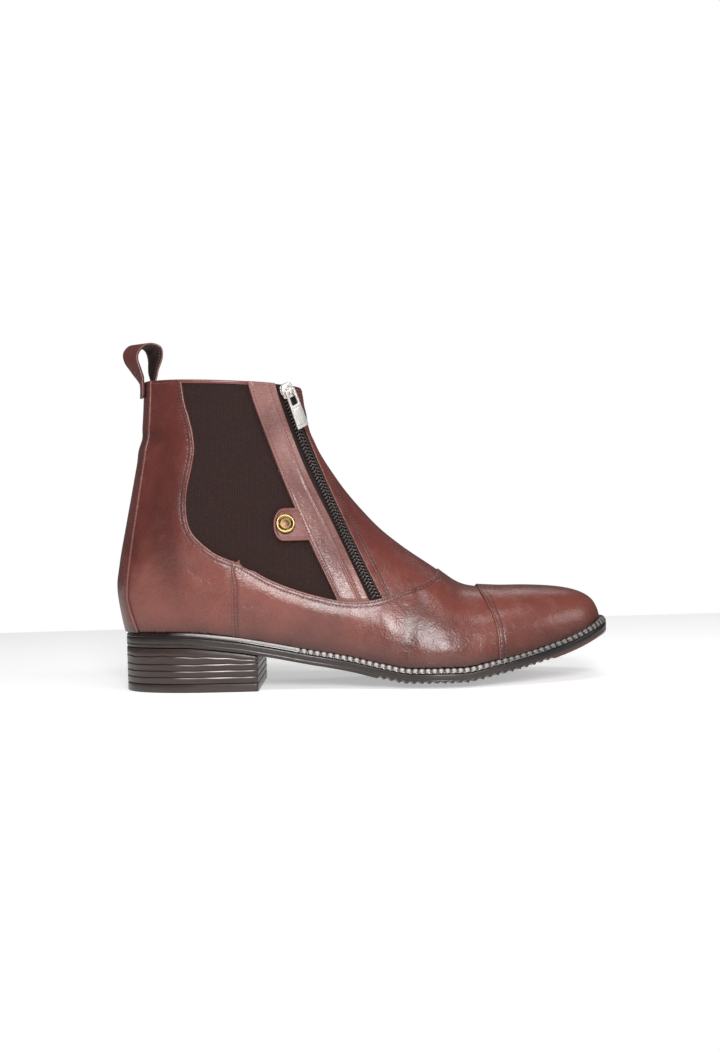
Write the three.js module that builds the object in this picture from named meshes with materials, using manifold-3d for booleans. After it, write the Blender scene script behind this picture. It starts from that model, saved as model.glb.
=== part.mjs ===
// Right paddock boot, standing empty on its sole.
// Millimetres. +X points to the toe, +Z up and -Y to the outer (lateral) side. The floor is z = 0. The
// pieces are drawn with x = 0 at the back of the heel seat, on the boot's long axis, and the whole is then
// moved so that the origin lies under the middle of the heel.

import * as THREE from 'three';
import { mergeVertices } from 'three/addons/utils/BufferGeometryUtils.js';
import Module from 'manifold-3d';

const wasm = await Module();
wasm.setup();

// Last: the sizes that set the form of the upper
const LAST_LENGTH = 280;
const BALL_HALF = 45;
const INSTEP_HEIGHT = 96.2;
const SHAFT_RISE = 57.2;
const HEEL_RISE = 23.2;
const TOE_RISE = 24;

// Leather and elastic
const WALL = 2.1;
const VAMP_STEP = 0.9;
const CAP_THICKNESS = 1.0;
const FACING_THICKNESS = 1.2;
const BACKSTAY_THICKNESS = 0.9;
const GUSSET_THICKNESS = 1.3;
const GUSSET_RECESS = 0.5;
const BINDING = 2.2;
const GAP = 0.3;

// Sole
const WELT_THICKNESS = 2.6;
const WELT_INSIDE = 6;
const OUTSOLE_EDGE = 5.6;
const SOLE_CROWN = 3.0;
const INSOLE_THICKNESS = 3;
const BEAD_PITCH = 3.75;
const BEAD_HEIGHT = 0.55;
const BEAD_START = 0.36;
const TREAD_PITCH = 4.3;
const TREAD_DEPTH = 1.3;
const TREAD_WIDTH = 2.2;
const TREAD_START = 0.535;
const TREAD_END = 0.885;
const REST_PATCH = { at: 0.65, length: 30, width: 30 };

// Heel
const HEEL_LENGTH = 80;
const TOP_LIFT = 4.8;
const LAYER = 3.75;
const GROOVE_DEPTH = 0.6;
const GROOVE_WIDTH = 0.8;

// Zip, snap tab and pull loop
const CHAIN_WIDTH = 5.2;
const CHAIN_HEIGHT = 1.7;
const TAPE_THICKNESS = 0.9;
const SLIDER_LENGTH = 9;
const SLIDER_WIDTH = 8.6;
const SLIDER_HEIGHT = 2.6;
const SLIDER_BEVEL = 0.5;
const ZIP_INSET = 6;
const PULL_LENGTH = 24;
const PULL_WIDTH = 8.4;
const PULL_THICKNESS = 1.3;
const PULL_RIM = 1.5;
const PULL_WINDOW = 8.25;
const PULL_CORNER = 0.6;
const PIN_RADIUS = 0.75;
const BRIDGE_BAR = 1.1;
const TAB_THICKNESS = 1.9;
const TAB_LENGTH = 19;
const TAB_HEIGHT = 19;
const TAB_NOSE = 5.9;
const TAB_SHOULDER = 1;
const BUTTON_RADIUS = 5.7;
const BUTTON_HEIGHT = 2.4;
const LOOP_WIDTH = 14;
const LOOP_THICKNESS = 1.6;
const LOOP_RISE = 24;
const LOOP_OPEN = 14.5;
const LOOP_OUTER_GAP = 0.9;
const LOOP_INNER_GAP = 1.5;
const LOOP_OUTER_END = 9;
const LOOP_INNER_END = 12;

// Fineness of the faceted solids
const STATIONS = 22;
const AROUND = 32;
const SOLE_STATIONS = 32;
const BED_STEPS = 32;
const PLAIN_STEP = 4;
const LOOP_STEPS = 30;

const BALL_SEAT = WELT_THICKNESS + GAP + OUTSOLE_EDGE + SOLE_CROWN;
const UPPER_RISE = INSTEP_HEIGHT + SHAFT_RISE;

// The bed is the line where the upper meets the welt. Its height is the ball's, plus shares of the heel's
// and the toe's rise, at shares of the last's length. It is level under the ball.
const BED = [
  { at: 0.0, heel: 1.0, toe: 0 },
  { at: 0.12, heel: 0.995, toe: 0 },
  { at: 0.235, heel: 0.865, toe: 0 },
  { at: 0.315, heel: 0.69, toe: 0 },
  { at: 0.38, heel: 0.525, toe: 0 },
  { at: 0.475, heel: 0.305, toe: 0 },
  { at: 0.54, heel: 0.12, toe: 0 },
  { at: 0.6, heel: 0, toe: 0 },
  { at: 0.7, heel: 0, toe: 0 },
  { at: 0.775, heel: 0, toe: 0.15 },
  { at: 0.825, heel: 0, toe: 0.27 },
  { at: 0.88, heel: 0, toe: 0.43 },
  { at: 0.94, heel: 0, toe: 0.64 },
  { at: 1.0, heel: 0, toe: 0.92 },
  { at: 1.05, heel: 0, toe: 1.14 },
];

// Sections of the last, from the toe tip to the collar. Each runs from a point at the bottom or back to
// one on the top or front line. x: shares of the last's length. Height above the bed there: low and high
// are shares of the instep's height, lowShaft and highShaft of the shaft's rise. outer, inner: half-widths
// as shares of the ball's. wide: where between the two points the section is widest. lean: the top's
// sideways place, as a share of the ball's half-width. footOuter, footInner and top: how square the curve
// is below and above the widest point (2 is an ellipse).
const SECTIONS = [
  { xl: 1.0, low: 0.016, xt: 1.0, high: 0.016, outer: 0, inner: 0, lean: 0.03,
    wide: 0.45, footOuter: 2.6, footInner: 2.6, top: 2.2 },
  { xl: 0.997, low: -0.08, xt: 0.9965, high: 0.068, outer: 0.165, inner: 0.19, lean: 0.03,
    wide: 0.46, footOuter: 3.0, footInner: 3.0, top: 2.2 },
  { xl: 0.986, low: -0.125, xt: 0.985, high: 0.137, outer: 0.30, inner: 0.345, lean: 0.03,
    wide: 0.46, footOuter: 3.4, footInner: 3.4, top: 2.25 },
  { xl: 0.964, low: -0.138, xt: 0.959, high: 0.211, outer: 0.445, inner: 0.505, lean: 0.03,
    wide: 0.45, footOuter: 3.5, footInner: 3.5, top: 2.3 },
  { xl: 0.929, low: -0.148, xt: 0.918, high: 0.279, outer: 0.58, inner: 0.655, lean: 0.04,
    wide: 0.45, footOuter: 3.5, footInner: 3.5, top: 2.3 },
  { xl: 0.875, low: -0.156, xt: 0.857, high: 0.342, outer: 0.725, inner: 0.81, lean: 0.05,
    wide: 0.44, footOuter: 3.5, footInner: 3.5, top: 2.3 },
  { xl: 0.804, low: -0.16, xt: 0.782, high: 0.396, outer: 0.865, inner: 0.945, lean: 0.07,
    wide: 0.40, footOuter: 3.4, footInner: 3.4, top: 2.15 },
  { xl: 0.732, low: -0.166, xt: 0.714, high: 0.465, outer: 0.96, inner: 1.005, lean: 0.09,
    wide: 0.38, footOuter: 3.2, footInner: 3.2, top: 1.95 },
  { xl: 0.661, low: -0.17, xt: 0.6535, high: 0.59, outer: 0.99, inner: 0.96, lean: 0.09,
    wide: 0.33, footOuter: 3.2, footInner: 3.0, top: 1.8 },
  { xl: 0.589, low: -0.17, xt: 0.5965, high: 0.707, outer: 0.94, inner: 0.84, lean: 0.09,
    wide: 0.33, footOuter: 2.8, footInner: 2.3, top: 1.72 },
  { xl: 0.511, low: -0.19, xt: 0.5465, high: 0.803, outer: 0.86, inner: 0.755, lean: 0.08,
    wide: 0.36, footOuter: 2.5, footInner: 1.9, top: 1.7 },
  { xl: 0.421, low: -0.22, xt: 0.507, high: 0.901, outer: 0.80, inner: 0.735, lean: 0.06,
    wide: 0.40, footOuter: 2.3, footInner: 1.8, top: 1.68 },
  { xl: 0.321, low: -0.28, xt: 0.473, high: 1.0, outer: 0.775, inner: 0.74, lean: 0.04,
    wide: 0.42, footOuter: 2.3, footInner: 2.0, top: 1.68 },
  { xl: 0.196, low: -0.36, xt: 0.4445, high: 1.0, highShaft: 0.18, outer: 0.765, inner: 0.75, lean: 0.02,
    wide: 0.43, footOuter: 2.3, footInner: 2.2, top: 1.68 },
  { xl: 0.079, low: -0.36, xt: 0.423, high: 1.0, highShaft: 0.337, outer: 0.75, inner: 0.75, lean: 0.01,
    wide: 0.44, footOuter: 2.3, footInner: 2.3, top: 1.7 },
  { xl: 0.015, low: -0.132, xt: 0.409, high: 1.0, highShaft: 0.472, outer: 0.745, inner: 0.745, lean: 0,
    wide: 0.44, footOuter: 2.3, footInner: 2.3, top: 1.72 },
  { xl: -0.0125, low: 0.211, xt: 0.401, high: 1.0, highShaft: 0.56, outer: 0.748, inner: 0.745, lean: 0,
    wide: 0.42, footOuter: 2.3, footInner: 2.3, top: 1.74 },
  { xl: -0.0075, low: 0.409, xt: 0.397, high: 1.0, highShaft: 0.652, outer: 0.745, inner: 0.745, lean: 0,
    wide: 0.41, footOuter: 2.3, footInner: 2.3, top: 1.77 },
  { xl: 0.0095, low: 0.658, xt: 0.394, high: 1.0, highShaft: 0.747, outer: 0.742, inner: 0.742, lean: 0,
    wide: 0.41, footOuter: 2.3, footInner: 2.3, top: 1.8 },
  { xl: 0.0285, low: 0.928, xt: 0.3905, high: 1.0, highShaft: 0.822, outer: 0.738, inner: 0.738, lean: 0,
    wide: 0.43, footOuter: 2.3, footInner: 2.3, top: 1.86 },
  { xl: 0.0475, low: 1.0, lowShaft: 0.386, xt: 0.388, high: 1.0, highShaft: 0.916, outer: 0.735,
    inner: 0.735, lean: 0, wide: 0.46, footOuter: 2.2, footInner: 2.2, top: 1.95 },
  { xl: 0.0545, low: 1.0, lowShaft: 0.893, xt: 0.3845, high: 1.0, highShaft: 1.0, outer: 0.735,
    inner: 0.735, lean: 0, wide: 0.48, footOuter: 2.15, footInner: 2.15, top: 2.05 },
];

// How far the sole's edge stands out from the upper, in millimetres, at shares of the length
const MARGINS = [
  { at: -0.02, out: 0.2 },
  { at: 0.08, out: 1.2 },
  { at: 0.3, out: 2.2 },
  { at: 0.5, out: 3.0 },
  { at: 0.65, out: 3.8 },
  { at: 0.9, out: 4.6 },
  { at: 1.01, out: 6.2 },
];

// How much of the sole's crown its flat middle stands down by, at shares of the length
const CROWN = [
  { at: 0.3, full: 0.1 },
  { at: 0.42, full: 0.5 },
  { at: 0.6, full: 1.08 },
  { at: 0.7, full: 1.08 },
  { at: 0.88, full: 0.75 },
  { at: 1.02, full: 0.3 },
];

// The pull loop's eye, up its back and down its front: across is a share of the opening, backwards, and up
// a share of the rise
const LOOP_EYE = [
  { across: 0.72, up: 0.3 },
  { across: 0.96, up: 0.58 },
  { across: 0.98, up: 0.8 },
  { across: 0.76, up: 0.97 },
  { across: 0.45, up: 1 },
  { across: 0.12, up: 0.9 },
  { across: 0, up: 0.64 },
  { across: 0.04, up: 0.3 },
];

// The snap button's profile: out is a share of its radius, up a share of its height
const BUTTON_PROFILE = [
  { out: 0, up: 0 },
  { out: 0.55, up: 0 },
  { out: 0.6, up: 0.45 },
  { out: 1, up: 0.5 },
  { out: 1, up: 0.72 },
  { out: 0.93, up: 0.94 },
  { out: 0.8, up: 1 },
  { out: 0.68, up: 0.92 },
  { out: 0.62, up: 0.66 },
  { out: 0.4, up: 0.72 },
  { out: 0, up: 0.78 },
];

// The slider's plan, one side of it from its lower end: out is a share of half its width, up a share of its
// length
const SLIDER_SIDE = [
  { out: 0.72, up: 0 },
  { out: 1, up: 0.45 },
  { out: 0.85, up: 0.9 },
  { out: 0.4, up: 1 },
];

// Seams and edges, as seen from the side: shares of the last's length, and of the upper's rise above the
// bed there
const QUARTER_EDGE = [
  [0.1385, 1.02], [0.147, 0.879], [0.157, 0.812], [0.165, 0.745], [0.167, 0.685], [0.16, 0.617],
  [0.151, 0.548], [0.147, 0.484], [0.15, 0.416], [0.163, 0.366], [0.201, 0.31],
];
const VAMP_EDGE = [
  [0.236, 0.287], [0.315, 0.237], [0.38, 0.214], [0.447, 0.203], [0.482, 0.208], [0.518, 0.226],
  [0.551, 0.251], [0.613, 0.299], [0.642, 0.318], [0.664, 0.352], [0.672, 0.44],
];
const FACING_BACK = [[0.272, 1.02], [0.293, 0.876], [0.341, 0.638], [0.395, 0.412], [0.451, 0.203]];
const FACING_FRONT = [[0.324, 1.02], [0.337, 0.912], [0.384, 0.68], [0.444, 0.464], [0.51, 0.223]];
const ZIP_MIDDLE = [
  [0.345, 1.02], [0.351, 0.978], [0.386, 0.789], [0.44, 0.576], [0.494, 0.368], [0.532, 0.243],
];
const PANEL_EDGE = [[0.3715, 1.02], [0.39, 0.871], [0.434, 0.675], [0.487, 0.47], [0.548, 0.25]];
const CAP_SEAM = [
  [0.744, 0.4], [0.748, 0.267], [0.757, 0.219], [0.769, 0.152], [0.775, 0.09], [0.778, -0.1],
];
const SIDE_SEAM = [[0.236, 0.287], [0.236, 0.175], [0.235, 0.062], [0.237, -0.1]];
const BACKSTAY_EDGE = [
  [0.078, 1.0], [0.07, 0.773], [0.053, 0.581], [0.032, 0.352], [0.018, 0.181], [0.018, 0.104],
  [0.04, -0.02],
];
const TAB_CENTRE = [0.3475, 0.452];
const SLIDER_PLACE = [0.352, 0.965];

// Past every piece, for cuts that run right through, and past the collar, for the hollow
const REACH = LAST_LENGTH;
const PAST_COLLAR = 3 * BINDING;

// Interpolation

// A cubic that never overshoots its points, through rows sorted by key
function smoothThrough(rows, key, value, x) {
  const last = rows.length - 1;
  if (x <= rows[0][key]) return rows[0][value];
  if (x >= rows[last][key]) return rows[last][value];
  const slope = (i) => (rows[i + 1][value] - rows[i][value]) / (rows[i + 1][key] - rows[i][key]);
  const tangent = (i) => {
    if (i === 0) return slope(0);
    if (i === last) return slope(last - 1);
    const before = slope(i - 1);
    const after = slope(i);
    return before * after <= 0 ? 0 : (2 * before * after) / (before + after);
  };
  const i = rows.findIndex((row, k) => k < last && x < rows[k + 1][key]);
  const width = rows[i + 1][key] - rows[i][key];
  const t = (x - rows[i][key]) / width;
  return (1 + 2 * t) * (1 - t) ** 2 * rows[i][value] + t * (1 - t) ** 2 * width * tangent(i)
    + t * t * (3 - 2 * t) * rows[i + 1][value] - t * t * (1 - t) * width * tangent(i + 1);
}

function bed(x) {
  const at = x / LAST_LENGTH;
  return BALL_SEAT + HEEL_RISE * smoothThrough(BED, 'at', 'heel', at)
    + TOE_RISE * smoothThrough(BED, 'at', 'toe', at);
}

const margin = (x) => smoothThrough(MARGINS, 'at', 'out', x / LAST_LENGTH);

const alongSide = ([x, rise]) => {
  const place = x * LAST_LENGTH;
  return [place, bed(place) + rise * UPPER_RISE];
};

function sideCurve(shares, count) {
  const points = shares.map(alongSide).map(([x, z]) => new THREE.Vector2(x, z));
  return new THREE.SplineCurve(points).getSpacedPoints(count);
}

// The upper's form

// A row of sizes in millimetres for each section
const FRAMES = SECTIONS.map((row) => {
  const back = { x: row.xl * LAST_LENGTH };
  const front = { x: row.xt * LAST_LENGTH };
  back.z = bed(back.x) + row.low * INSTEP_HEIGHT + (row.lowShaft ?? 0) * SHAFT_RISE;
  front.z = bed(front.x) + row.high * INSTEP_HEIGHT + (row.highShaft ?? 0) * SHAFT_RISE;
  return [
    back.x, back.z, front.x, front.z, row.outer * BALL_HALF, row.inner * BALL_HALF, row.lean * BALL_HALF,
    row.wide, row.footOuter, row.footInner, row.top,
  ];
});

// The row mirrored through the toe tip, which makes the tip round
function mirrored([backX, backZ, frontX, frontZ, outer, inner, ...rest]) {
  return [frontX, frontZ, backX, backZ, -outer, -inner, ...rest];
}
const MIRRORED = mirrored(FRAMES[1]);

function frameAt(u) {
  const i = Math.min(Math.floor(u), FRAMES.length - 2);
  const t = u - i;
  const p0 = i === 0 ? MIRRORED : FRAMES[i - 1];
  const p1 = FRAMES[i];
  const p2 = FRAMES[i + 1];
  const p3 = FRAMES[i + 2] ?? p2;
  return p1.map((value, k) => 0.5 * (2 * value + (p2[k] - p0[k]) * t
    + (2 * p0[k] - 5 * value + 4 * p2[k] - p3[k]) * t * t
    + (3 * value - p0[k] - 3 * p2[k] + p3[k]) * t ** 3));
}

// Half of a section as a fine line of [share from back to front, half-width]
const FINE = 160;
function halfSection(width, wide, foot, top) {
  const line = [];
  for (let i = 0; i <= FINE; i += 1) {
    const angle = (i / FINE) * Math.PI;
    const lower = angle <= Math.PI / 2;
    const power = 2 / (lower ? foot : top);
    const along = Math.abs(Math.cos(angle)) ** power;
    const share = lower ? wide * (1 - along) : wide + (1 - wide) * along;
    line.push([share, width * Math.abs(Math.sin(angle)) ** power]);
  }
  return line;
}

// The same line in count steps of equal length
function spaced(line, scale, count) {
  const lengths = [0];
  for (let i = 1; i < line.length; i += 1) {
    const step = Math.hypot((line[i][0] - line[i - 1][0]) * scale, line[i][1] - line[i - 1][1]);
    lengths.push(lengths[i - 1] + step);
  }
  const total = lengths.at(-1);
  const result = [];
  let k = 1;
  for (let i = 0; i <= count; i += 1) {
    const target = (i / count) * total;
    while (k < line.length - 1 && lengths[k] < target) k += 1;
    const t = total > 0 ? (target - lengths[k - 1]) / (lengths[k] - lengths[k - 1] || 1) : 0;
    result.push([
      line[k - 1][0] + (line[k][0] - line[k - 1][0]) * t,
      line[k - 1][1] + (line[k][1] - line[k - 1][1]) * t,
    ]);
  }
  return result;
}

// One closed section: from the bottom or back, up the outer side to the front, and down the inner side
function section(u, around) {
  const [bx, bz, tx, tz, outer, inner, lean, wide, footOuter, footInner, top] = frameAt(u);
  const height = Math.hypot(tx - bx, tz - bz);
  const half = around / 2;
  const outerSide = spaced(halfSection(outer, wide, footOuter, top), height, half);
  const innerSide = spaced(halfSection(inner, wide, footInner, top), height, half);
  const place = ([share, width], side) => new THREE.Vector3(
    bx + (tx - bx) * share,
    lean * share + side * width,
    bz + (tz - bz) * share,
  );
  const ring = outerSide.slice(0, half).map((point) => place(point, -1));
  for (let i = half; i > 0; i -= 1) ring.push(place(innerSide[i], 1));
  return ring;
}

// Stations along the loft, closer at the toe tip
const CLOSER = 0.09;
function stationAt(i, count) {
  const share = i / count;
  const end = FRAMES.length - 1;
  return end * (share - CLOSER * Math.sin(Math.PI * share) * (1 - share));
}

const RINGS = Array.from({ length: STATIONS + 1 }, (_, i) => section(stationAt(i, STATIONS), AROUND));

function ringNormals(rings) {
  const across = rings[0].length;
  return rings.map((ring, i) => ring.map((point, j) => {
    if (i === 0) return new THREE.Vector3(1, 0, 0);
    const before = rings[i - 1][j];
    const after = rings[Math.min(i + 1, rings.length - 1)][j];
    const left = ring[(j + across - 1) % across];
    const right = ring[(j + 1) % across];
    const around = new THREE.Vector3().subVectors(right, left);
    const along = new THREE.Vector3().subVectors(after, before);
    return around.cross(along).normalize();
  }));
}

const NORMALS = ringNormals(RINGS);

// Solids

function geometryOf(vertices, triangles) {
  const geometry = new THREE.BufferGeometry();
  geometry.setAttribute('position', new THREE.Float32BufferAttribute(vertices, 3));
  geometry.setIndex(triangles);
  return geometry;
}

function solidOf(source) {
  const bare = source.clone();
  bare.deleteAttribute('normal');
  bare.deleteAttribute('uv');
  const geometry = mergeVertices(bare, 1e-4);
  const vertProperties = new Float32Array(geometry.attributes.position.array);
  const index = Array.from(geometry.index.array);
  const kept = [];
  let volume = 0;
  const at = (i) => new THREE.Vector3().fromArray(vertProperties, 3 * i);
  for (let i = 0; i < index.length; i += 3) {
    const [a, b, c] = index.slice(i, i + 3);
    if (a !== b && b !== c && c !== a) {
      kept.push(a, b, c);
      volume += at(a).dot(at(b).cross(at(c)));
    }
  }
  if (volume < 0) kept.reverse();
  return new wasm.Manifold(new wasm.Mesh({ numProp: 3, vertProperties, triVerts: new Uint32Array(kept) }));
}

function geometryFrom(manifold) {
  const mesh = manifold.getMesh();
  const vertices = [];
  for (let i = 0; i < mesh.numVert; i += 1) {
    vertices.push(...mesh.vertProperties.slice(i * mesh.numProp, i * mesh.numProp + 3));
  }
  return geometryOf(vertices, Array.from(mesh.triVerts));
}

// Closed rings of points, joined into one solid with flat ends
function loft(rings) {
  const count = rings[0].length;
  const vertices = [];
  const triangles = [];
  rings.forEach((ring) => ring.forEach((p) => vertices.push(p.x, p.y, p.z)));
  for (let i = 0; i < rings.length - 1; i += 1) {
    for (let j = 0; j < count; j += 1) {
      const a = i * count + j;
      const b = i * count + ((j + 1) % count);
      triangles.push(a, b, b + count, a, b + count, a + count);
    }
  }
  [0, rings.length - 1].forEach((i) => {
    const centre = rings[i].reduce((sum, p) => sum.add(p), new THREE.Vector3()).divideScalar(count);
    const hub = vertices.length / 3;
    vertices.push(centre.x, centre.y, centre.z);
    for (let j = 0; j < count; j += 1) {
      const pair = [i * count + j, i * count + ((j + 1) % count)];
      triangles.push(hub, ...(i === 0 ? pair.reverse() : pair));
    }
  });
  return geometryOf(vertices, triangles);
}

// The upper's form grown by an offset, with its open end moved up past the collar
function skin(offset, past = 0) {
  const grown = (p, i, j) => p.clone().addScaledVector(NORMALS[i][j], offset);
  const rings = RINGS.map((ring, i) => ring.map((p, j) => grown(p, i, j)));
  if (past > 0) rings.push(rings.at(-1).map((p) => p.clone().add(new THREE.Vector3(0, 0, past))));
  return solidOf(loft(rings));
}

const shellBetween = (outer, inner) => skin(outer).subtract(skin(inner, BINDING));

// A side outline carried across the boot from y = from to y = to
function across(outline, from, to) {
  const shape = new THREE.Shape(outline);
  const geometry = new THREE.ExtrudeGeometry(shape, { depth: to - from, bevelEnabled: false });
  geometry.rotateX(Math.PI / 2);
  geometry.translate(0, to, 0);
  return solidOf(geometry);
}

// A plan outline carried up from z = from to z = to
function upright(outline, from, to) {
  const shape = new THREE.Shape(outline);
  const geometry = new THREE.ExtrudeGeometry(shape, { depth: to - from, bevelEnabled: false });
  geometry.translate(0, 0, from);
  return solidOf(geometry);
}

// A closed outline moved outwards by a distance, or by a function of the place
function grow(outline, distance) {
  const sign = THREE.ShapeUtils.area(outline) > 0 ? 1 : -1;
  return outline.map((point, i) => {
    const before = outline[(i + outline.length - 1) % outline.length];
    const after = outline[(i + 1) % outline.length];
    const first = new THREE.Vector2().subVectors(point, before).normalize();
    const second = new THREE.Vector2().subVectors(after, point).normalize();
    const along = new THREE.Vector2().addVectors(first, second).normalize();
    const miter = Math.max(0.5, along.dot(second));
    const out = new THREE.Vector2(along.y, -along.x).multiplyScalar(sign);
    const size = typeof distance === 'function' ? distance(point, i) : distance;
    return out.multiplyScalar(size / miter).add(point);
  });
}

// The stretch between two curves of the bed, all along the boot
function bedSlab(low, high) {
  const from = -0.15 * LAST_LENGTH;
  const to = 1.15 * LAST_LENGTH;
  const xs = Array.from({ length: BED_STEPS + 1 }, (_, i) => from + ((to - from) * i) / BED_STEPS);
  const top = xs.map((x) => new THREE.Vector2(x, bed(x) + high));
  const bottom = xs.map((x) => new THREE.Vector2(x, low === null ? -REACH : bed(x) + low)).reverse();
  return across([...top, ...bottom], -REACH, REACH);
}

const belowBed = bedSlab(null, GAP);

// Where a line across the boot at side place (x, z) meets the upper's outer side, with the normal there
const ray = new THREE.Raycaster();
const finder = new THREE.Mesh(loft(RINGS), new THREE.MeshBasicMaterial({ side: THREE.DoubleSide }));
function onSide(x, z) {
  ray.set(new THREE.Vector3(x, -REACH, z), new THREE.Vector3(0, 1, 0));
  const hit = ray.intersectObject(finder)[0];
  const normal = hit.face.normal.clone();
  return { point: hit.point, normal: normal.y < 0 ? normal : normal.negate() };
}

// The feather line: the upper's outline where it meets the bed, from the heel's back to the toe tip
function featherPoint(u, side) {
  const ring = section(u, 4 * AROUND);
  const half = ring.length / 2;
  const at = (i) => ring[side < 0 ? i : (ring.length - i) % ring.length];
  for (let i = 0; i < half; i += 1) {
    const a = at(i);
    const b = at(i + 1);
    const below = a.z - bed(a.x);
    const above = b.z - bed(b.x);
    if (below <= 0 && above > 0) return a.clone().lerp(b, below / (below - above));
  }
  return null;
}

function featherEnd(from, to) {
  let inside = from;
  let outside = to;
  for (let i = 0; i < 30; i += 1) {
    const middle = (inside + outside) / 2;
    if (featherPoint(middle, -1)) inside = middle;
    else outside = middle;
  }
  return inside;
}

function featherSide(side) {
  const middle = FRAMES.length / 2;
  const back = featherEnd(middle, FRAMES.length - 1);
  const front = featherEnd(middle, 0);
  const steps = 150;
  const line = [];
  for (let i = 0; i <= steps; i += 1) {
    const turn = (1 - Math.cos((Math.PI * i) / steps)) / 2;
    const point = featherPoint(back + (front - back) * turn, side);
    line.push(new THREE.Vector2(point.x, point.y));
  }
  // Both sides end in the same point at the back and at the tip
  const shared = (u) => (featherPoint(u, -1).y + featherPoint(u, 1).y) / 2;
  line[0].y = shared(back);
  line[steps].y = shared(front);
  return new THREE.SplineCurve(line);
}

const FEATHER = { outer: featherSide(-1), inner: featherSide(1) };

// The feather as one closed outline of pairs: outer side from back to front, then inner side back
function featherLoop(stations) {
  const outer = FEATHER.outer.getSpacedPoints(stations);
  const inner = FEATHER.inner.getSpacedPoints(stations);
  return [...outer, ...inner.slice(1, stations).reverse()];
}

const soleLoop = grow(featherLoop(SOLE_STATIONS), (p) => margin(p.x));

// The outsole's cross-section: level in the middle and rising to each edge. Shares from side to side.
const ACROSS = [-1, -0.42, 0.42, 1];
const crown = (share) => Math.max(0, Math.abs(share) - ACROSS[2]) / (1 - ACROSS[2]);

function outsoleBottom(x, share) {
  const edge = bed(x) - WELT_THICKNESS - GAP - OUTSOLE_EDGE;
  const full = smoothThrough(CROWN, 'at', 'full', x / LAST_LENGTH);
  return Math.max(0, edge - SOLE_CROWN * full * (1 - crown(share)));
}

// A plate over the sole's outline, with rows from side to side
function plate(loop, top, bottom) {
  const stations = loop.length / 2;
  const vertices = [];
  const triangles = [];
  const row = (i) => {
    const a = loop[i];
    const b = loop[(loop.length - i) % loop.length];
    return ACROSS.map((share) => {
      const t = (1 + share) / 2;
      return [a.x + (b.x - a.x) * t, a.y + (b.y - a.y) * t, share];
    });
  };
  const size = ACROSS.length;
  for (let i = 0; i <= stations; i += 1) {
    row(i).forEach(([x, y, share]) => vertices.push(x, y, top(x, share)));
    row(i).forEach(([x, y, share]) => vertices.push(x, y, bottom(x, share)));
  }
  for (let i = 0; i < stations; i += 1) {
    const here = 2 * size * i;
    const next = here + 2 * size;
    for (let j = 0; j < size - 1; j += 1) {
      const [a, b, c, d] = [here + j, here + j + 1, next + j + 1, next + j];
      triangles.push(a, c, b, a, d, c);
      const low = [a, b, c, d].map((k) => k + size);
      triangles.push(low[0], low[1], low[2], low[0], low[2], low[3]);
    }
    [[0, false], [size - 1, true]].forEach(([j, flipped]) => {
      const [a, b, c, d] = [here + j, next + j, next + j + size, here + j + size];
      const faces = [[a, c, b], [a, d, c]];
      faces.forEach((face) => triangles.push(...(flipped ? face.reverse() : face)));
    });
  }
  return geometryOf(vertices, triangles);
}

// Upper, with the vamp as a step in its wall

const gussetOutline = (() => {
  const back = sideCurve(QUARTER_EDGE, 13);
  const low = sideCurve(VAMP_EDGE.slice(0, 4), 6);
  const front = sideCurve(FACING_BACK, 8).reverse();
  return [...back, ...low, ...front.slice(1)];
})();

// The window stops below the collar, which leaves the leather binding
const collarLine = (x) => {
  const back = RINGS.at(-1)[0];
  const front = RINGS.at(-1)[AROUND / 2];
  return back.z + ((front.z - back.z) * (x - back.x)) / (front.x - back.x);
};
const belowBinding = across(
  [-0.2, 0.6].map((share) => share * LAST_LENGTH).flatMap((x, i, [start, end]) => (i === 0
    ? [new THREE.Vector2(start, -REACH), new THREE.Vector2(start, collarLine(start) - BINDING)]
    : [new THREE.Vector2(end, collarLine(end) - BINDING), new THREE.Vector2(end, -REACH)])),
  -REACH, REACH,
);

const slotOutline = [
  ...sideCurve(FACING_FRONT, 10),
  ...sideCurve(PANEL_EDGE, 10).reverse(),
];

const vampOutline = [
  ...sideCurve(SIDE_SEAM, 4).slice(1).reverse(),
  ...sideCurve(VAMP_EDGE, 16),
  new THREE.Vector2(REACH * 1.2, REACH),
  new THREE.Vector2(REACH * 1.2, -REACH),
  new THREE.Vector2(SIDE_SEAM.at(-1)[0] * LAST_LENGTH, -REACH),
];

const OUTER_SIDE = [-REACH, 0];
const INNER_SIDE = [0, REACH];
const ZIP_SIDE = [-REACH, -ZIP_INSET];

function makeUpper() {
  const outside = skin(0).add(skin(VAMP_STEP).intersect(across(vampOutline, -REACH, REACH)));
  const window = (side) => across(gussetOutline, ...side).intersect(belowBinding);
  return outside
    .subtract(skin(-WALL, PAST_COLLAR))
    .subtract(belowBed)
    .subtract(window(OUTER_SIDE))
    .subtract(window(INNER_SIDE))
    .subtract(across(slotOutline, ...ZIP_SIDE));
}

function makeGusset(side) {
  const sheet = shellBetween(-GUSSET_RECESS, -GUSSET_RECESS - GUSSET_THICKNESS);
  const top = belowBinding.translate([0, 0, -GAP]);
  return sheet.intersect(across(grow(gussetOutline, -GAP), ...side)).intersect(top);
}

// Overlays, each cut between two larger forms of the upper
const overlay = (start, thickness) => shellBetween(start + GAP + thickness, start + GAP);

function makeToeCap() {
  const seam = sideCurve(CAP_SEAM, 8);
  const outline = [...seam, new THREE.Vector2(REACH * 1.2, -REACH), new THREE.Vector2(REACH * 1.2, REACH)];
  return overlay(VAMP_STEP, CAP_THICKNESS).intersect(across(outline, -REACH, REACH)).subtract(belowBed);
}

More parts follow.
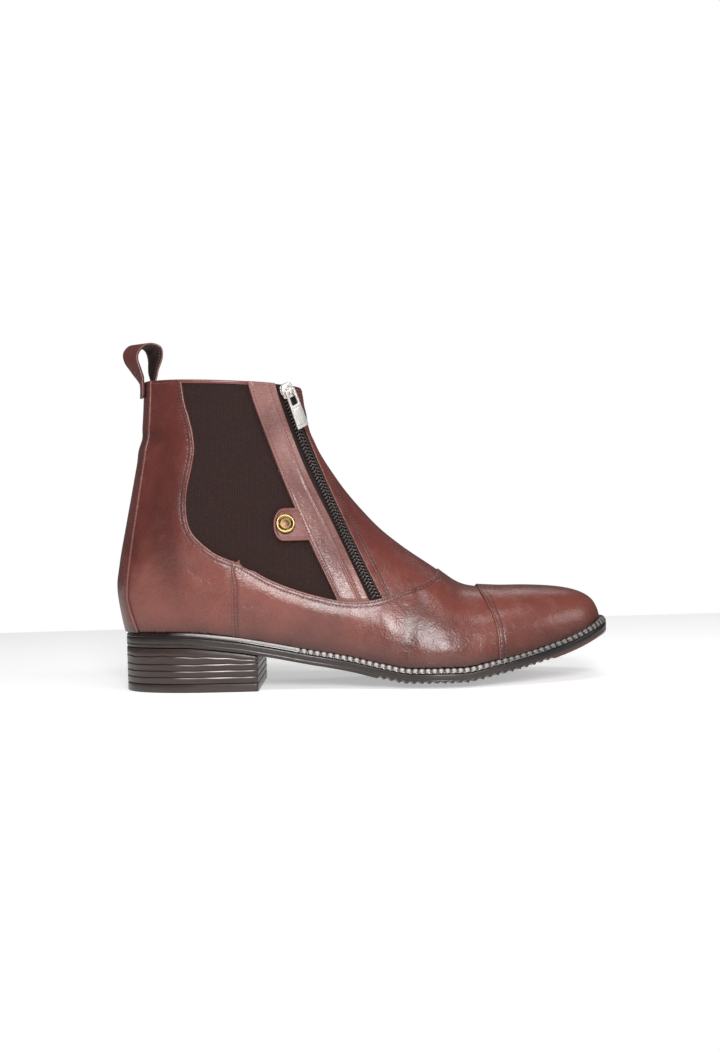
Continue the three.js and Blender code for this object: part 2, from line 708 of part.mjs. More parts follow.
function makeFacing() {
  const outline = [
    ...sideCurve(FACING_BACK, 10),
    ...sideCurve(FACING_FRONT, 10).reverse(),
  ];
  const vamp = across(vampOutline, -REACH, REACH).translate([0, 0, GAP]);
  return overlay(0, FACING_THICKNESS).intersect(across(outline, ...OUTER_SIDE)).subtract(vamp);
}

function makeBackstay() {
  const outline = [
    ...sideCurve(BACKSTAY_EDGE, 12),
    new THREE.Vector2(-REACH, -REACH),
    new THREE.Vector2(-REACH, REACH),
  ];
  return overlay(0, BACKSTAY_THICKNESS).intersect(across(outline, -REACH, REACH)).subtract(belowBed);
}

// Sole pieces

function makeWelt() {
  const edge = new THREE.CatmullRomCurve3(
    soleLoop.map((p) => new THREE.Vector3(p.x, p.y, 0)), true,
  );
  const count = 2 * Math.round(edge.getLength() / BEAD_PITCH);
  const inBeads = (p) => p.x > BEAD_START * LAST_LENGTH;
  const outer = edge.getSpacedPoints(count).slice(0, count)
    .filter((p, i) => inBeads(p) || i % PLAIN_STEP === 0)
    .map((p) => new THREE.Vector2(p.x, p.y));
  const beaded = (p, i) => (inBeads(p) && i % 2 ? -BEAD_HEIGHT : 0);
  const top = grow(outer, beaded);
  const hole = grow(outer, (p) => -margin(p.x) - WELT_INSIDE);
  const ring = [
    top.map((p, i) => new THREE.Vector3(p.x, p.y, bed(p.x) + beaded(p, i))),
    hole.map((p) => new THREE.Vector3(p.x, p.y, bed(p.x))),
    hole.map((p) => new THREE.Vector3(p.x, p.y, bed(p.x) - WELT_THICKNESS)),
    outer.map((p) => new THREE.Vector3(p.x, p.y, bed(p.x) - WELT_THICKNESS)),
  ];
  return solidOf(closedBand(ring));
}

// Loops of points joined around a closed profile
function closedBand(loops) {
  const count = loops[0].length;
  const vertices = [];
  const triangles = [];
  loops.forEach((loop) => loop.forEach((p) => vertices.push(p.x, p.y, p.z)));
  loops.forEach((_, i) => {
    const next = (i + 1) % loops.length;
    for (let j = 0; j < count; j += 1) {
      const k = (j + 1) % count;
      triangles.push(i * count + j, i * count + k, next * count + k);
      triangles.push(i * count + j, next * count + k, next * count + j);
    }
  });
  return geometryOf(vertices, triangles);
}

// The sole's two edges at a place along the boot: outer y and inner y
function soleSides(x) {
  const stations = soleLoop.length / 2;
  const along = (side) => {
    for (let i = 0; i < stations; i += 1) {
      const a = soleLoop[(soleLoop.length + side * i) % soleLoop.length];
      const b = soleLoop[(soleLoop.length + side * (i + 1)) % soleLoop.length];
      if (a.x <= x && b.x > x) return a.y + ((b.y - a.y) * (x - a.x)) / (b.x - a.x);
    }
    return 0;
  };
  return [along(1), along(-1)];
}

function makeOutsole() {
  const body = solidOf(plate(soleLoop, (x) => bed(x) - WELT_THICKNESS - GAP, outsoleBottom));
  const patch = new THREE.Path().absellipse(
    REST_PATCH.at * LAST_LENGTH, 0, REST_PATCH.length / 2, REST_PATCH.width / 2, 0, 2 * Math.PI,
  ).getPoints(20).slice(0, 20);
  let grooves = null;
  const count = Math.round(((TREAD_END - TREAD_START) * LAST_LENGTH) / TREAD_PITCH);
  for (let i = 0; i <= count; i += 1) {
    const x = TREAD_START * LAST_LENGTH + i * TREAD_PITCH;
    const half = TREAD_WIDTH / 2;
    const profile = (level) => [
      new THREE.Vector3(x - half, 0, level - SOLE_CROWN),
      new THREE.Vector3(x - half, 0, level),
      new THREE.Vector3(x, 0, level + TREAD_DEPTH),
      new THREE.Vector3(x + half, 0, level),
      new THREE.Vector3(x + half, 0, level - SOLE_CROWN),
    ];
    const [outer, inner] = soleSides(x);
    const groove = solidOf(loft(ACROSS.map((share) => {
      const middle = (outer + inner) / 2;
      const past = Math.abs(share) === 1 ? share * GAP : 0;
      const y = middle + (share * (inner - outer)) / 2 + past;
      return profile(outsoleBottom(x, share)).map((p) => p.setY(y));
    })));
    grooves = grooves ? grooves.add(groove) : groove;
  }
  return body.subtract(grooves.subtract(upright(patch, -REACH, REACH)));
}

function makeInsole() {
  const inside = skin(-WALL - GAP);
  const board = bedSlab(GAP, GAP + INSOLE_THICKNESS).intersect(inside);
  const hole = grow(soleLoop, (p) => -margin(p.x) - WELT_INSIDE - GAP);
  const rib = bedSlab(-WELT_THICKNESS, GAP + INSOLE_THICKNESS / 2).intersect(upright(hole, -REACH, REACH));
  return board.add(rib);
}

// The heel's plan: the sole's outline behind a straight breast
function heelOutline() {
  const behind = (p) => p.x < HEEL_LENGTH - BINDING;
  const stations = soleLoop.length / 2;
  const outer = soleLoop.slice(0, stations).filter(behind);
  const inner = soleLoop.slice(stations).filter(behind);
  const corner = (last) => new THREE.Vector2(HEEL_LENGTH, last.y);
  return [...outer, corner(outer.at(-1)), corner(inner[0]), ...inner];
}

function makeHeel() {
  const outline = heelOutline();
  const bottom = TOP_LIFT + GAP;
  const under = (x) => outsoleBottom(x, 0) - GAP;
  const flat = (level) => () => bottom + level;
  const wedge = (x) => (bottom + 3 * LAYER + under(x)) / 2;
  const seams = [flat(LAYER), flat(2 * LAYER), flat(3 * LAYER), wedge];
  const ring = (level, inset) => grow(outline, -inset).map((p) => new THREE.Vector3(p.x, p.y, level(p.x)));
  const rings = [ring(flat(0), 0)];
  seams.forEach((seam) => {
    rings.push(ring((x) => seam(x) - GROOVE_WIDTH / 2, 0));
    rings.push(ring(seam, GROOVE_DEPTH));
    rings.push(ring((x) => seam(x) + GROOVE_WIDTH / 2, 0));
  });
  rings.push(ring(under, 0));
  return solidOf(loft(rings));
}

const makeTopLift = () => upright(heelOutline(), 0, TOP_LIFT);

// Zip

function makeTape() {
  const sheet = shellBetween(-GUSSET_RECESS, -GUSSET_RECESS - TAPE_THICKNESS);
  return sheet.intersect(across(grow(slotOutline, -GAP), ZIP_SIDE[0], ZIP_SIDE[1] - GAP));
}

// A line moved sideways by a distance, or by a function of the place
function beside(line, distance) {
  return line.map((p, i) => {
    const before = line[Math.max(0, i - 1)];
    const after = line[Math.min(line.length - 1, i + 1)];
    const along = new THREE.Vector2().subVectors(after, before).normalize();
    const size = typeof distance === 'function' ? distance(p) : distance;
    return new THREE.Vector2(p.x + along.y * size, p.y - along.x * size);
  });
}

// The band of the chain, whose seen width follows how far the upper faces the side
function chainOutline() {
  const middle = sideCurve(ZIP_MIDDLE, 16);
  const half = (p) => {
    const level = Math.min(p.y, collarLine(p.x) - BINDING);
    return (CHAIN_WIDTH / 2) * Math.abs(onSide(p.x, level).normal.y);
  };
  return [...beside(middle, half), ...beside(middle, (p) => -half(p)).reverse()];
}

// Local axes at the slider: right across the zip, up along it and out from the upper
function zipFrame() {
  const [x, z] = alongSide(SLIDER_PLACE);
  const { point, normal } = onSide(x, z);
  const below = onSide(...alongSide(ZIP_MIDDLE[2])).point;
  const up = new THREE.Vector3().subVectors(point, below).normalize();
  const right = new THREE.Vector3().crossVectors(up, normal).normalize();
  const out = new THREE.Vector3().crossVectors(right, up).normalize();
  return new THREE.Matrix4().makeBasis(right, up, out).setPosition(point);
}

const ZIP_FRAME = zipFrame();
const HINGE_HEIGHT = CHAIN_HEIGHT + SLIDER_HEIGHT + GAP + PIN_RADIUS;

// The chain of closed teeth, from the slider down to the vamp
function makeChain() {
  const ribbon = shellBetween(CHAIN_HEIGHT, -GUSSET_RECESS + GAP);
  const band = across(chainOutline(), ...ZIP_SIDE);
  const vamp = across(vampOutline, -REACH, REACH).translate([0, 0, 3 * GAP]);
  const aboveSlider = new THREE.BoxGeometry(2 * SLIDER_WIDTH, 2 * SLIDER_LENGTH, REACH / 4)
    .translate(0, SLIDER_LENGTH / 2 - GAP, 0)
    .applyMatrix4(ZIP_FRAME);
  return ribbon.intersect(band).subtract(vamp).subtract(solidOf(aboveSlider));
}

// A body with wide shoulders, and a bridge over the pull's bar
function makeSlider() {
  const side = (sign) => SLIDER_SIDE.map(({ out, up }) => new THREE.Vector2(
    (sign * out * SLIDER_WIDTH) / 2,
    (up - 0.5) * SLIDER_LENGTH,
  ));
  const body = new THREE.ExtrudeGeometry(new THREE.Shape([...side(1), ...side(-1).reverse()]), {
    depth: SLIDER_HEIGHT - 2 * SLIDER_BEVEL,
    bevelSize: SLIDER_BEVEL,
    bevelThickness: SLIDER_BEVEL,
    bevelOffset: -SLIDER_BEVEL,
    bevelSegments: 1,
  });
  body.translate(0, 0, CHAIN_HEIGHT - GAP + SLIDER_BEVEL);

  const inner = PIN_RADIUS + GAP;
  const roof = inner + PIN_RADIUS;
  const arch = new THREE.Shape();
  arch.moveTo(-inner - 2 * BRIDGE_BAR, 0);
  arch.lineTo(-inner - BRIDGE_BAR, roof + BRIDGE_BAR);
  arch.lineTo(inner + BRIDGE_BAR, roof + BRIDGE_BAR);
  arch.lineTo(inner + 2 * BRIDGE_BAR, 0);
  const eye = new THREE.Path();
  eye.moveTo(-inner, GAP);
  eye.lineTo(inner, GAP);
  eye.lineTo(inner, roof);
  eye.lineTo(-inner, roof);
  arch.holes.push(eye);
  const bridge = new THREE.ExtrudeGeometry(arch, { depth: 2 * BRIDGE_BAR, bevelEnabled: false });
  bridge.translate(0, 0, -BRIDGE_BAR);
  bridge.rotateY(-Math.PI / 2);
  bridge.rotateX(-Math.PI / 2);
  bridge.translate(0, 0, CHAIN_HEIGHT - GAP + SLIDER_HEIGHT - SLIDER_BEVEL);
  return solidOf(body).add(solidOf(bridge));
}

// The pull about its hinge: x along the bar, y up the zip, z out
function makePull() {
  const half = PULL_WIDTH / 2;
  const end = PIN_RADIUS - PULL_LENGTH;
  const outline = new THREE.Shape();
  outline.moveTo(-half, PIN_RADIUS);
  outline.lineTo(-half, end + PULL_CORNER);
  outline.lineTo(PULL_CORNER - half, end);
  outline.lineTo(half - PULL_CORNER, end);
  outline.lineTo(half, end + PULL_CORNER);
  outline.lineTo(half, PIN_RADIUS);
  const window = new THREE.Path();
  window.moveTo(PULL_RIM - half, -PIN_RADIUS);
  window.lineTo(half - PULL_RIM, -PIN_RADIUS);
  window.lineTo(half - PULL_RIM, -PIN_RADIUS - PULL_WINDOW);
  window.lineTo(PULL_RIM - half, -PIN_RADIUS - PULL_WINDOW);
  outline.holes.push(window);
  const pull = new THREE.ExtrudeGeometry(outline, { depth: PULL_THICKNESS, bevelEnabled: false });
  pull.translate(0, 0, -PULL_THICKNESS / 2);
  return solidOf(pull);
}

// Snap tab and its button

function tabFrame() {
  const { point, normal } = onSide(...alongSide(TAB_CENTRE));
  const up = new THREE.Vector3(0, 0, 1);
  const right = new THREE.Vector3().crossVectors(up, normal).normalize();
  const level = new THREE.Vector3().crossVectors(normal, right).normalize();
  return new THREE.Matrix4().makeBasis(right, level, normal).setPosition(point);
}

// A strap with a round nose, which ends at the facing's edge
function makeTab() {
  const [x, z] = alongSide(TAB_CENTRE);
  const half = TAB_HEIGHT / 2;
  const outline = new THREE.Shape();
  outline.moveTo(x + TAB_LENGTH, z + half);
  outline.absellipse(x - TAB_SHOULDER, z, TAB_NOSE, half, Math.PI / 2, (3 * Math.PI) / 2, false);
  outline.lineTo(x + TAB_LENGTH, z - half);
  const facing = [
    ...sideCurve(FACING_BACK, 10),
    new THREE.Vector2(REACH, -REACH),
    new THREE.Vector2(REACH, REACH),
  ];
  return shellBetween(GAP + TAB_THICKNESS, GAP)
    .intersect(across(outline.getPoints(10), ...OUTER_SIDE))
    .subtract(across(grow(facing, GAP), ...OUTER_SIDE));
}

function makeButton() {
  const profile = BUTTON_PROFILE.map(({ out, up }) => (
    new THREE.Vector2(out * BUTTON_RADIUS, up * BUTTON_HEIGHT)
  ));
  const button = new THREE.LatheGeometry(profile, 20);
  button.rotateX(Math.PI / 2);
  return solidOf(button);
}

// Pull loop: a strap bent into an eye over the back of the collar. x is inwards from the wall's outer
// face and y up from the rim
function makeLoop() {
  const outside = -BACKSTAY_THICKNESS - LOOP_OUTER_GAP - LOOP_THICKNESS / 2;
  const inside = WALL + LOOP_INNER_GAP + LOOP_THICKNESS / 2;
  const eye = LOOP_EYE.map(({ across: share, up }) => [inside - share * LOOP_OPEN, up * LOOP_RISE]);
  const centre = [
    [outside, -LOOP_OUTER_END], [outside, 0], ...eye, [inside, 0], [inside, -LOOP_INNER_END],
  ].map(([x, z]) => new THREE.Vector2(x, z));
  const line = new THREE.SplineCurve(centre).getSpacedPoints(LOOP_STEPS);
  const half = LOOP_THICKNESS / 2;
  const outline = new THREE.Shape([...beside(line, half), ...beside(line, -half).reverse()]);
  const strap = new THREE.ExtrudeGeometry(outline, { depth: LOOP_WIDTH, bevelEnabled: false });
  strap.translate(0, 0, -LOOP_WIDTH / 2);
  strap.rotateX(Math.PI / 2);
  return solidOf(strap);
}

// The loop's seat is on the collar's rim, a little to the outer side of its back
const LOOP_SEAT = RINGS.at(-1)[1];
const LOOP_TURN = Math.atan2(-NORMALS.at(-1)[1].y, -NORMALS.at(-1)[1].x);

// Scene

const finishes = {
  leather: { color: 0x6f3a34, roughness: 0.42, metalness: 0 },
  capLeather: { color: 0x78403a, roughness: 0.4, metalness: 0 },
  tabLeather: { color: 0x8a4136, roughness: 0.5, metalness: 0 },
  elastic: { color: 0x3b2a26, roughness: 0.9, metalness: 0 },
  welt: { color: 0x1d1516, roughness: 0.22, metalness: 0 },
  sole: { color: 0x4a3330, roughness: 0.4, metalness: 0 },
  stack: { color: 0x2c1f1e, roughness: 0.3, metalness: 0 },
  board: { color: 0xb08d6a, roughness: 0.8, metalness: 0 },
  tape: { color: 0x1f1716, roughness: 0.9, metalness: 0 },
  chain: { color: 0x2a1f1d, roughness: 0.35, metalness: 0 },
  steel: { color: 0xb9b6b2, roughness: 0.22, metalness: 1 },
  brass: { color: 0xc39a4e, roughness: 0.28, metalness: 1 },
};

const boot = new THREE.Group();

function place(name, solid, finish, matrix = new THREE.Matrix4()) {
  const geometry = geometryFrom(solid);
  geometry.computeVertexNormals();
  const mesh = new THREE.Mesh(geometry, new THREE.MeshStandardMaterial(finishes[finish]));
  mesh.name = name;
  matrix.decompose(mesh.position, mesh.quaternion, mesh.scale);
  boot.add(mesh);
}

const away = (distance) => new THREE.Matrix4().makeTranslation(0, 0, distance);
const pullPlace = ZIP_FRAME.clone().multiply(away(HINGE_HEIGHT));
const buttonPlace = tabFrame().multiply(away(TAB_THICKNESS + 2 * GAP));
const loopPlace = new THREE.Matrix4().makeRotationZ(LOOP_TURN).setPosition(LOOP_SEAT);

place('upper', makeUpper(), 'leather');
place('toe_cap', makeToeCap(), 'capLeather');
place('backstay', makeBackstay(), 'leather');
place('zip_facing', makeFacing(), 'leather');
place('gusset_outer', makeGusset(OUTER_SIDE), 'elastic');
place('gusset_inner', makeGusset(INNER_SIDE), 'elastic');
place('insole', makeInsole(), 'board');
place('welt', makeWelt(), 'welt');
place('outsole', makeOutsole(), 'sole');
place('heel', makeHeel(), 'stack');
place('top_lift', makeTopLift(), 'stack');
place('zip_tape', makeTape(), 'tape');
place('zip_chain', makeChain(), 'chain');
place('zip_slider', makeSlider(), 'steel', ZIP_FRAME);
place('zip_pull', makePull(), 'steel', pullPlace);
place('snap_tab', makeTab(), 'tabLeather');
place('snap_button', makeButton(), 'brass', buttonPlace);
place('pull_loop', makeLoop(), 'leather', loopPlace);

// The part's origin is on the floor under the middle of the heel
boot.position.x = -HEEL_LENGTH / 2;

export default boot;
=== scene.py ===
# Looks of the right paddock boot: leather, elastic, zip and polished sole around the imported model.
import math

import bmesh
import bpy
import numpy as np
from mathutils import Matrix, Vector
from mathutils.bvhtree import BVHTree


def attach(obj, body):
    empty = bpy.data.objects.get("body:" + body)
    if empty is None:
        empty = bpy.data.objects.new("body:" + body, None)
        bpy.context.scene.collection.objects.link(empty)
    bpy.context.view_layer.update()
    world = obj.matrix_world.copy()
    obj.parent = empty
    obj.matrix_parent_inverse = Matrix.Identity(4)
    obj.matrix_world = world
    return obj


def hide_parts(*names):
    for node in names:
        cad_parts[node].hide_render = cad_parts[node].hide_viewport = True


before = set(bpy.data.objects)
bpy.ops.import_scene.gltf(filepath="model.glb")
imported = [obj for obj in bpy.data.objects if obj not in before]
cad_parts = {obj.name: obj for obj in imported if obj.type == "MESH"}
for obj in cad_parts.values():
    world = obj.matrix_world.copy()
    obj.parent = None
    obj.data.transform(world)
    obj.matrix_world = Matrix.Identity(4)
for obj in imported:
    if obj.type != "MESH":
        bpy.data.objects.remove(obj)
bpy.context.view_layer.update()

# Sizes are millimetres in the frame that the pieces are drawn in, with x = 0 at the back of the heel seat.
# The boot's own origin is under the middle of the heel.
LAST_LENGTH = 280.0
BALL_HALF = 45.0
INSTEP_HEIGHT = 96.2
SHAFT_RISE = 57.2
HEEL_RISE = 23.2
TOE_RISE = 24.0
WALL = 2.1
VAMP_STEP = 0.9
CAP_THICKNESS = 1.0
FACING_THICKNESS = 1.2
BACKSTAY_THICKNESS = 0.9
GUSSET_THICKNESS = 1.3
GUSSET_RECESS = 0.5
BINDING = 2.2
GAP = 0.3
WELT_THICKNESS = 2.6
WELT_INSIDE = 6.0
OUTSOLE_EDGE = 5.6
SOLE_CROWN = 3.0
INSOLE_THICKNESS = 3.0
BEAD_PITCH = 3.75
BEAD_START = 0.36
TREAD_PITCH = 4.3
TREAD_DEPTH = 1.3
TREAD_START = 0.535
TREAD_END = 0.885
REST_PATCH = {"at": 0.65, "length": 30.0, "width": 30.0}
HEEL_LENGTH = 80.0
TOP_LIFT = 4.8
LAYER = 3.75
CHAIN_HEIGHT = 1.7
TAPE_THICKNESS = 0.9
SLIDER_LENGTH = 9.0
SLIDER_WIDTH = 8.6
SLIDER_HEIGHT = 2.6
PULL_LENGTH = 24.0
PULL_WIDTH = 8.4
PULL_THICKNESS = 1.3
PULL_RIM = 1.5
PULL_WINDOW = 8.25
PIN_RADIUS = 0.75
BRIDGE_BAR = 1.1
TAB_THICKNESS = 1.9
TAB_LENGTH = 19.0
TAB_HEIGHT = 19.0
TAB_NOSE = 5.9
TAB_SHOULDER = 1.0
BUTTON_RADIUS = 5.7
BUTTON_HEIGHT = 2.4
LOOP_WIDTH = 14.0
LOOP_THICKNESS = 1.6
LOOP_RISE = 24.0
LOOP_OPEN = 14.5
LOOP_OUTER_GAP = 0.9
LOOP_INNER_GAP = 1.5
LOOP_OUTER_END = 9.0
LOOP_INNER_END = 12.0

BALL_SEAT = WELT_THICKNESS + GAP + OUTSOLE_EDGE + SOLE_CROWN
UPPER_RISE = INSTEP_HEIGHT + SHAFT_RISE

# The bed, where the upper meets the welt: place along the last, shares of the heel's and the toe's rise
BED = [
    (0.0, 1.0, 0), (0.12, 0.995, 0), (0.235, 0.865, 0), (0.315, 0.69, 0), (0.38, 0.525, 0),
    (0.475, 0.305, 0), (0.54, 0.12, 0), (0.6, 0, 0), (0.7, 0, 0), (0.775, 0, 0.15), (0.825, 0, 0.27),
    (0.88, 0, 0.43), (0.94, 0, 0.64), (1.0, 0, 0.92), (1.05, 0, 1.14),
]

# Sections of the last from the toe tip to the collar, each from a point at the bottom or back to one on the
# top or front: x and height of both ends, half-widths, lean, widest place and how square the curve is
SECTION_COLUMNS = (
    "xl", "low", "low_shaft", "xt", "high", "high_shaft", "outer", "inner", "lean", "wide", "foot_outer",
    "foot_inner", "top",
)
SECTIONS = [
    (1.0, 0.016, 0, 1.0, 0.016, 0, 0, 0, 0.03, 0.45, 2.6, 2.6, 2.2),
    (0.997, -0.08, 0, 0.9965, 0.068, 0, 0.165, 0.19, 0.03, 0.46, 3.0, 3.0, 2.2),
    (0.986, -0.125, 0, 0.985, 0.137, 0, 0.30, 0.345, 0.03, 0.46, 3.4, 3.4, 2.25),
    (0.964, -0.138, 0, 0.959, 0.211, 0, 0.445, 0.505, 0.03, 0.45, 3.5, 3.5, 2.3),
    (0.929, -0.148, 0, 0.918, 0.279, 0, 0.58, 0.655, 0.04, 0.45, 3.5, 3.5, 2.3),
    (0.875, -0.156, 0, 0.857, 0.342, 0, 0.725, 0.81, 0.05, 0.44, 3.5, 3.5, 2.3),
    (0.804, -0.16, 0, 0.782, 0.396, 0, 0.865, 0.945, 0.07, 0.40, 3.4, 3.4, 2.15),
    (0.732, -0.166, 0, 0.714, 0.465, 0, 0.96, 1.005, 0.09, 0.38, 3.2, 3.2, 1.95),
    (0.661, -0.17, 0, 0.6535, 0.59, 0, 0.99, 0.96, 0.09, 0.33, 3.2, 3.0, 1.8),
    (0.589, -0.17, 0, 0.5965, 0.707, 0, 0.94, 0.84, 0.09, 0.33, 2.8, 2.3, 1.72),
    (0.511, -0.19, 0, 0.5465, 0.803, 0, 0.86, 0.755, 0.08, 0.36, 2.5, 1.9, 1.7),
    (0.421, -0.22, 0, 0.507, 0.901, 0, 0.80, 0.735, 0.06, 0.40, 2.3, 1.8, 1.68),
    (0.321, -0.28, 0, 0.473, 1.0, 0, 0.775, 0.74, 0.04, 0.42, 2.3, 2.0, 1.68),
    (0.196, -0.36, 0, 0.4445, 1.0, 0.18, 0.765, 0.75, 0.02, 0.43, 2.3, 2.2, 1.68),
    (0.079, -0.36, 0, 0.423, 1.0, 0.337, 0.75, 0.75, 0.01, 0.44, 2.3, 2.3, 1.7),
    (0.015, -0.132, 0, 0.409, 1.0, 0.472, 0.745, 0.745, 0, 0.44, 2.3, 2.3, 1.72),
    (-0.0125, 0.211, 0, 0.401, 1.0, 0.56, 0.748, 0.745, 0, 0.42, 2.3, 2.3, 1.74),
    (-0.0075, 0.409, 0, 0.397, 1.0, 0.652, 0.745, 0.745, 0, 0.41, 2.3, 2.3, 1.77),
    (0.0095, 0.658, 0, 0.394, 1.0, 0.747, 0.742, 0.742, 0, 0.41, 2.3, 2.3, 1.8),
    (0.0285, 0.928, 0, 0.3905, 1.0, 0.822, 0.738, 0.738, 0, 0.43, 2.3, 2.3, 1.86),
    (0.0475, 1.0, 0.386, 0.388, 1.0, 0.916, 0.735, 0.735, 0, 0.46, 2.2, 2.2, 1.95),
    (0.0545, 1.0, 0.893, 0.3845, 1.0, 1.0, 0.735, 0.735, 0, 0.48, 2.15, 2.15, 2.05),
]

# How far the sole's edge stands out from the upper, in millimetres
MARGINS = [(-0.02, 0.2), (0.08, 1.2), (0.3, 2.2), (0.5, 3.0), (0.65, 3.8), (0.9, 4.6), (1.01, 6.2)]
CROWN = [(0.3, 0.1), (0.42, 0.5), (0.6, 1.08), (0.7, 1.08), (0.88, 0.75), (1.02, 0.3)]

# Seams and edges from the side: shares of the last's length, and of the upper's rise above the bed there
QUARTER_EDGE = [
    (0.1385, 1.02), (0.147, 0.879), (0.157, 0.812), (0.165, 0.745), (0.167, 0.685), (0.16, 0.617),
    (0.151, 0.548), (0.147, 0.484), (0.15, 0.416), (0.163, 0.366), (0.201, 0.31),
]
VAMP_EDGE = [
    (0.236, 0.287), (0.315, 0.237), (0.38, 0.214), (0.447, 0.203), (0.482, 0.208), (0.518, 0.226),
    (0.551, 0.251), (0.613, 0.299), (0.642, 0.318), (0.664, 0.352), (0.672, 0.44),
]
FACING_BACK = [(0.272, 1.02), (0.293, 0.876), (0.341, 0.638), (0.395, 0.412), (0.451, 0.203)]
FACING_FRONT = [(0.324, 1.02), (0.337, 0.912), (0.384, 0.68), (0.444, 0.464), (0.51, 0.223)]
ZIP_MIDDLE = [(0.345, 1.02), (0.351, 0.978), (0.386, 0.789), (0.44, 0.576), (0.494, 0.368), (0.532, 0.243)]
PANEL_EDGE = [(0.3715, 1.02), (0.39, 0.871), (0.434, 0.675), (0.487, 0.47), (0.548, 0.25)]
CAP_SEAM = [(0.744, 0.4), (0.748, 0.267), (0.757, 0.219), (0.769, 0.152), (0.775, 0.09), (0.778, -0.1)]
SIDE_SEAM = [(0.236, 0.287), (0.236, 0.175), (0.235, 0.062), (0.237, -0.1)]
BACKSTAY_EDGE = [
    (0.078, 1.0), (0.07, 0.773), (0.053, 0.581), (0.032, 0.352), (0.018, 0.181), (0.018, 0.104),
    (0.04, -0.02),
]
TAB_CENTRE = (0.3475, 0.452)
SLIDER_PLACE = (0.352, 0.965)
LOOP_EYE = [
    (0.72, 0.3), (0.96, 0.58), (0.98, 0.8), (0.76, 0.97), (0.45, 1), (0.12, 0.9), (0, 0.64), (0.04, 0.3),
]
BUTTON_PROFILE = [
    (0, 0), (0.55, 0), (0.6, 0.45), (0.96, 0.5), (1, 0.58), (1, 0.72), (0.97, 0.84), (0.93, 0.94), (0.86, 1),
    (0.8, 0.98), (0.7, 0.9), (0.64, 0.72), (0.6, 0.62), (0.5, 0.6), (0.3, 0.66), (0, 0.7),
]

REACH = LAST_LENGTH
MM = 0.001


# Interpolation

def smooth_through(rows, column, x):
    """A cubic that never overshoots its points."""
    at = np.array([row[0] for row in rows], float)
    value = np.array([row[column] for row in rows], float)
    slope = np.diff(value) / np.diff(at)
    tangent = np.empty(len(at))
    tangent[0] = slope[0]
    tangent[-1] = slope[-1]
    before, after = slope[:-1], slope[1:]
    total = np.where(before + after == 0, 1, before + after)
    tangent[1:-1] = np.where(before * after <= 0, 0, 2 * before * after / total)
    x = np.clip(np.asarray(x, float), at[0], at[-1])
    i = np.clip(np.searchsorted(at, x, side="right") - 1, 0, len(at) - 2)
    width = at[i + 1] - at[i]
    t = (x - at[i]) / width
    return ((1 + 2 * t) * (1 - t) ** 2 * value[i] + t * (1 - t) ** 2 * width * tangent[i]
            + t * t * (3 - 2 * t) * value[i + 1] - t * t * (1 - t) * width * tangent[i + 1])


def bed(x):
    at = np.asarray(x, float) / LAST_LENGTH
    return BALL_SEAT + HEEL_RISE * smooth_through(BED, 1, at) + TOE_RISE * smooth_through(BED, 2, at)


def margin(x):
    return smooth_through(MARGINS, 1, np.asarray(x, float) / LAST_LENGTH)


def catmull_rom(points, steps):
    """A smooth line through all the points, with that many steps between two of them."""
    points = np.asarray(points, float)
    padded = np.vstack([points[:1], points, points[-1:]])
    t = np.arange(steps)[:, None] / steps
    line = []
    for i in range(len(points) - 1):
        p0, p1, p2, p3 = padded[i:i + 4]
        line.append(0.5 * (2 * p1 + (p2 - p0) * t + (2 * p0 - 5 * p1 + 4 * p2 - p3) * t ** 2
                           + (3 * p1 - p0 - 3 * p2 + p3) * t ** 3))
    return np.vstack([*line, points[-1:]])


def along_side(share):
    x = share[0] * LAST_LENGTH
    return (x, float(bed(x)) + share[1] * UPPER_RISE)


def side_curve(shares, steps=10):
    return catmull_rom([along_side(share) for share in shares], steps)


def resampled(line, pitch):
    """The same line in equal steps of about that length."""
    line = np.asarray(line, float)
    lengths = np.concatenate([[0], np.cumsum(np.linalg.norm(np.diff(line, axis=0), axis=1))])
    count = max(1, int(round(lengths[-1] / pitch)))
    targets = np.linspace(0, lengths[-1], count + 1)
    return np.stack([np.interp(targets, lengths, line[:, k]) for k in range(line.shape[1])], axis=1)


# The upper's form, as a fine table of places and normals

def frame_rows():
    rows = []
    for values in SECTIONS:
        s = dict(zip(SECTION_COLUMNS, values))
        back_x, front_x = s["xl"] * LAST_LENGTH, s["xt"] * LAST_LENGTH
        back_z = float(bed(back_x)) + s["low"] * INSTEP_HEIGHT + s["low_shaft"] * SHAFT_RISE
        front_z = float(bed(front_x)) + s["high"] * INSTEP_HEIGHT + s["high_shaft"] * SHAFT_RISE
        rows.append((
            back_x, back_z, front_x, front_z, s["outer"] * BALL_HALF, s["inner"] * BALL_HALF,
            s["lean"] * BALL_HALF, s["wide"], s["foot_outer"], s["foot_inner"], s["top"],
        ))
    return np.array(rows)


FRAMES = frame_rows()
LAST_ROW = len(FRAMES) - 1


def frame_at(u):
    i = min(int(u), LAST_ROW - 1)
    t = u - i
    first = FRAMES[1]
    mirrored = np.concatenate([first[2:4], first[:2], -first[4:6], first[6:]])
    p0 = mirrored if i == 0 else FRAMES[i - 1]
    p1, p2 = FRAMES[i], FRAMES[i + 1]
    p3 = FRAMES[min(i + 2, LAST_ROW)]
    return 0.5 * (2 * p1 + (p2 - p0) * t + (2 * p0 - 5 * p1 + 4 * p2 - p3) * t * t
                  + (3 * p1 - p0 - 3 * p2 + p3) * t ** 3)


FINE = 160


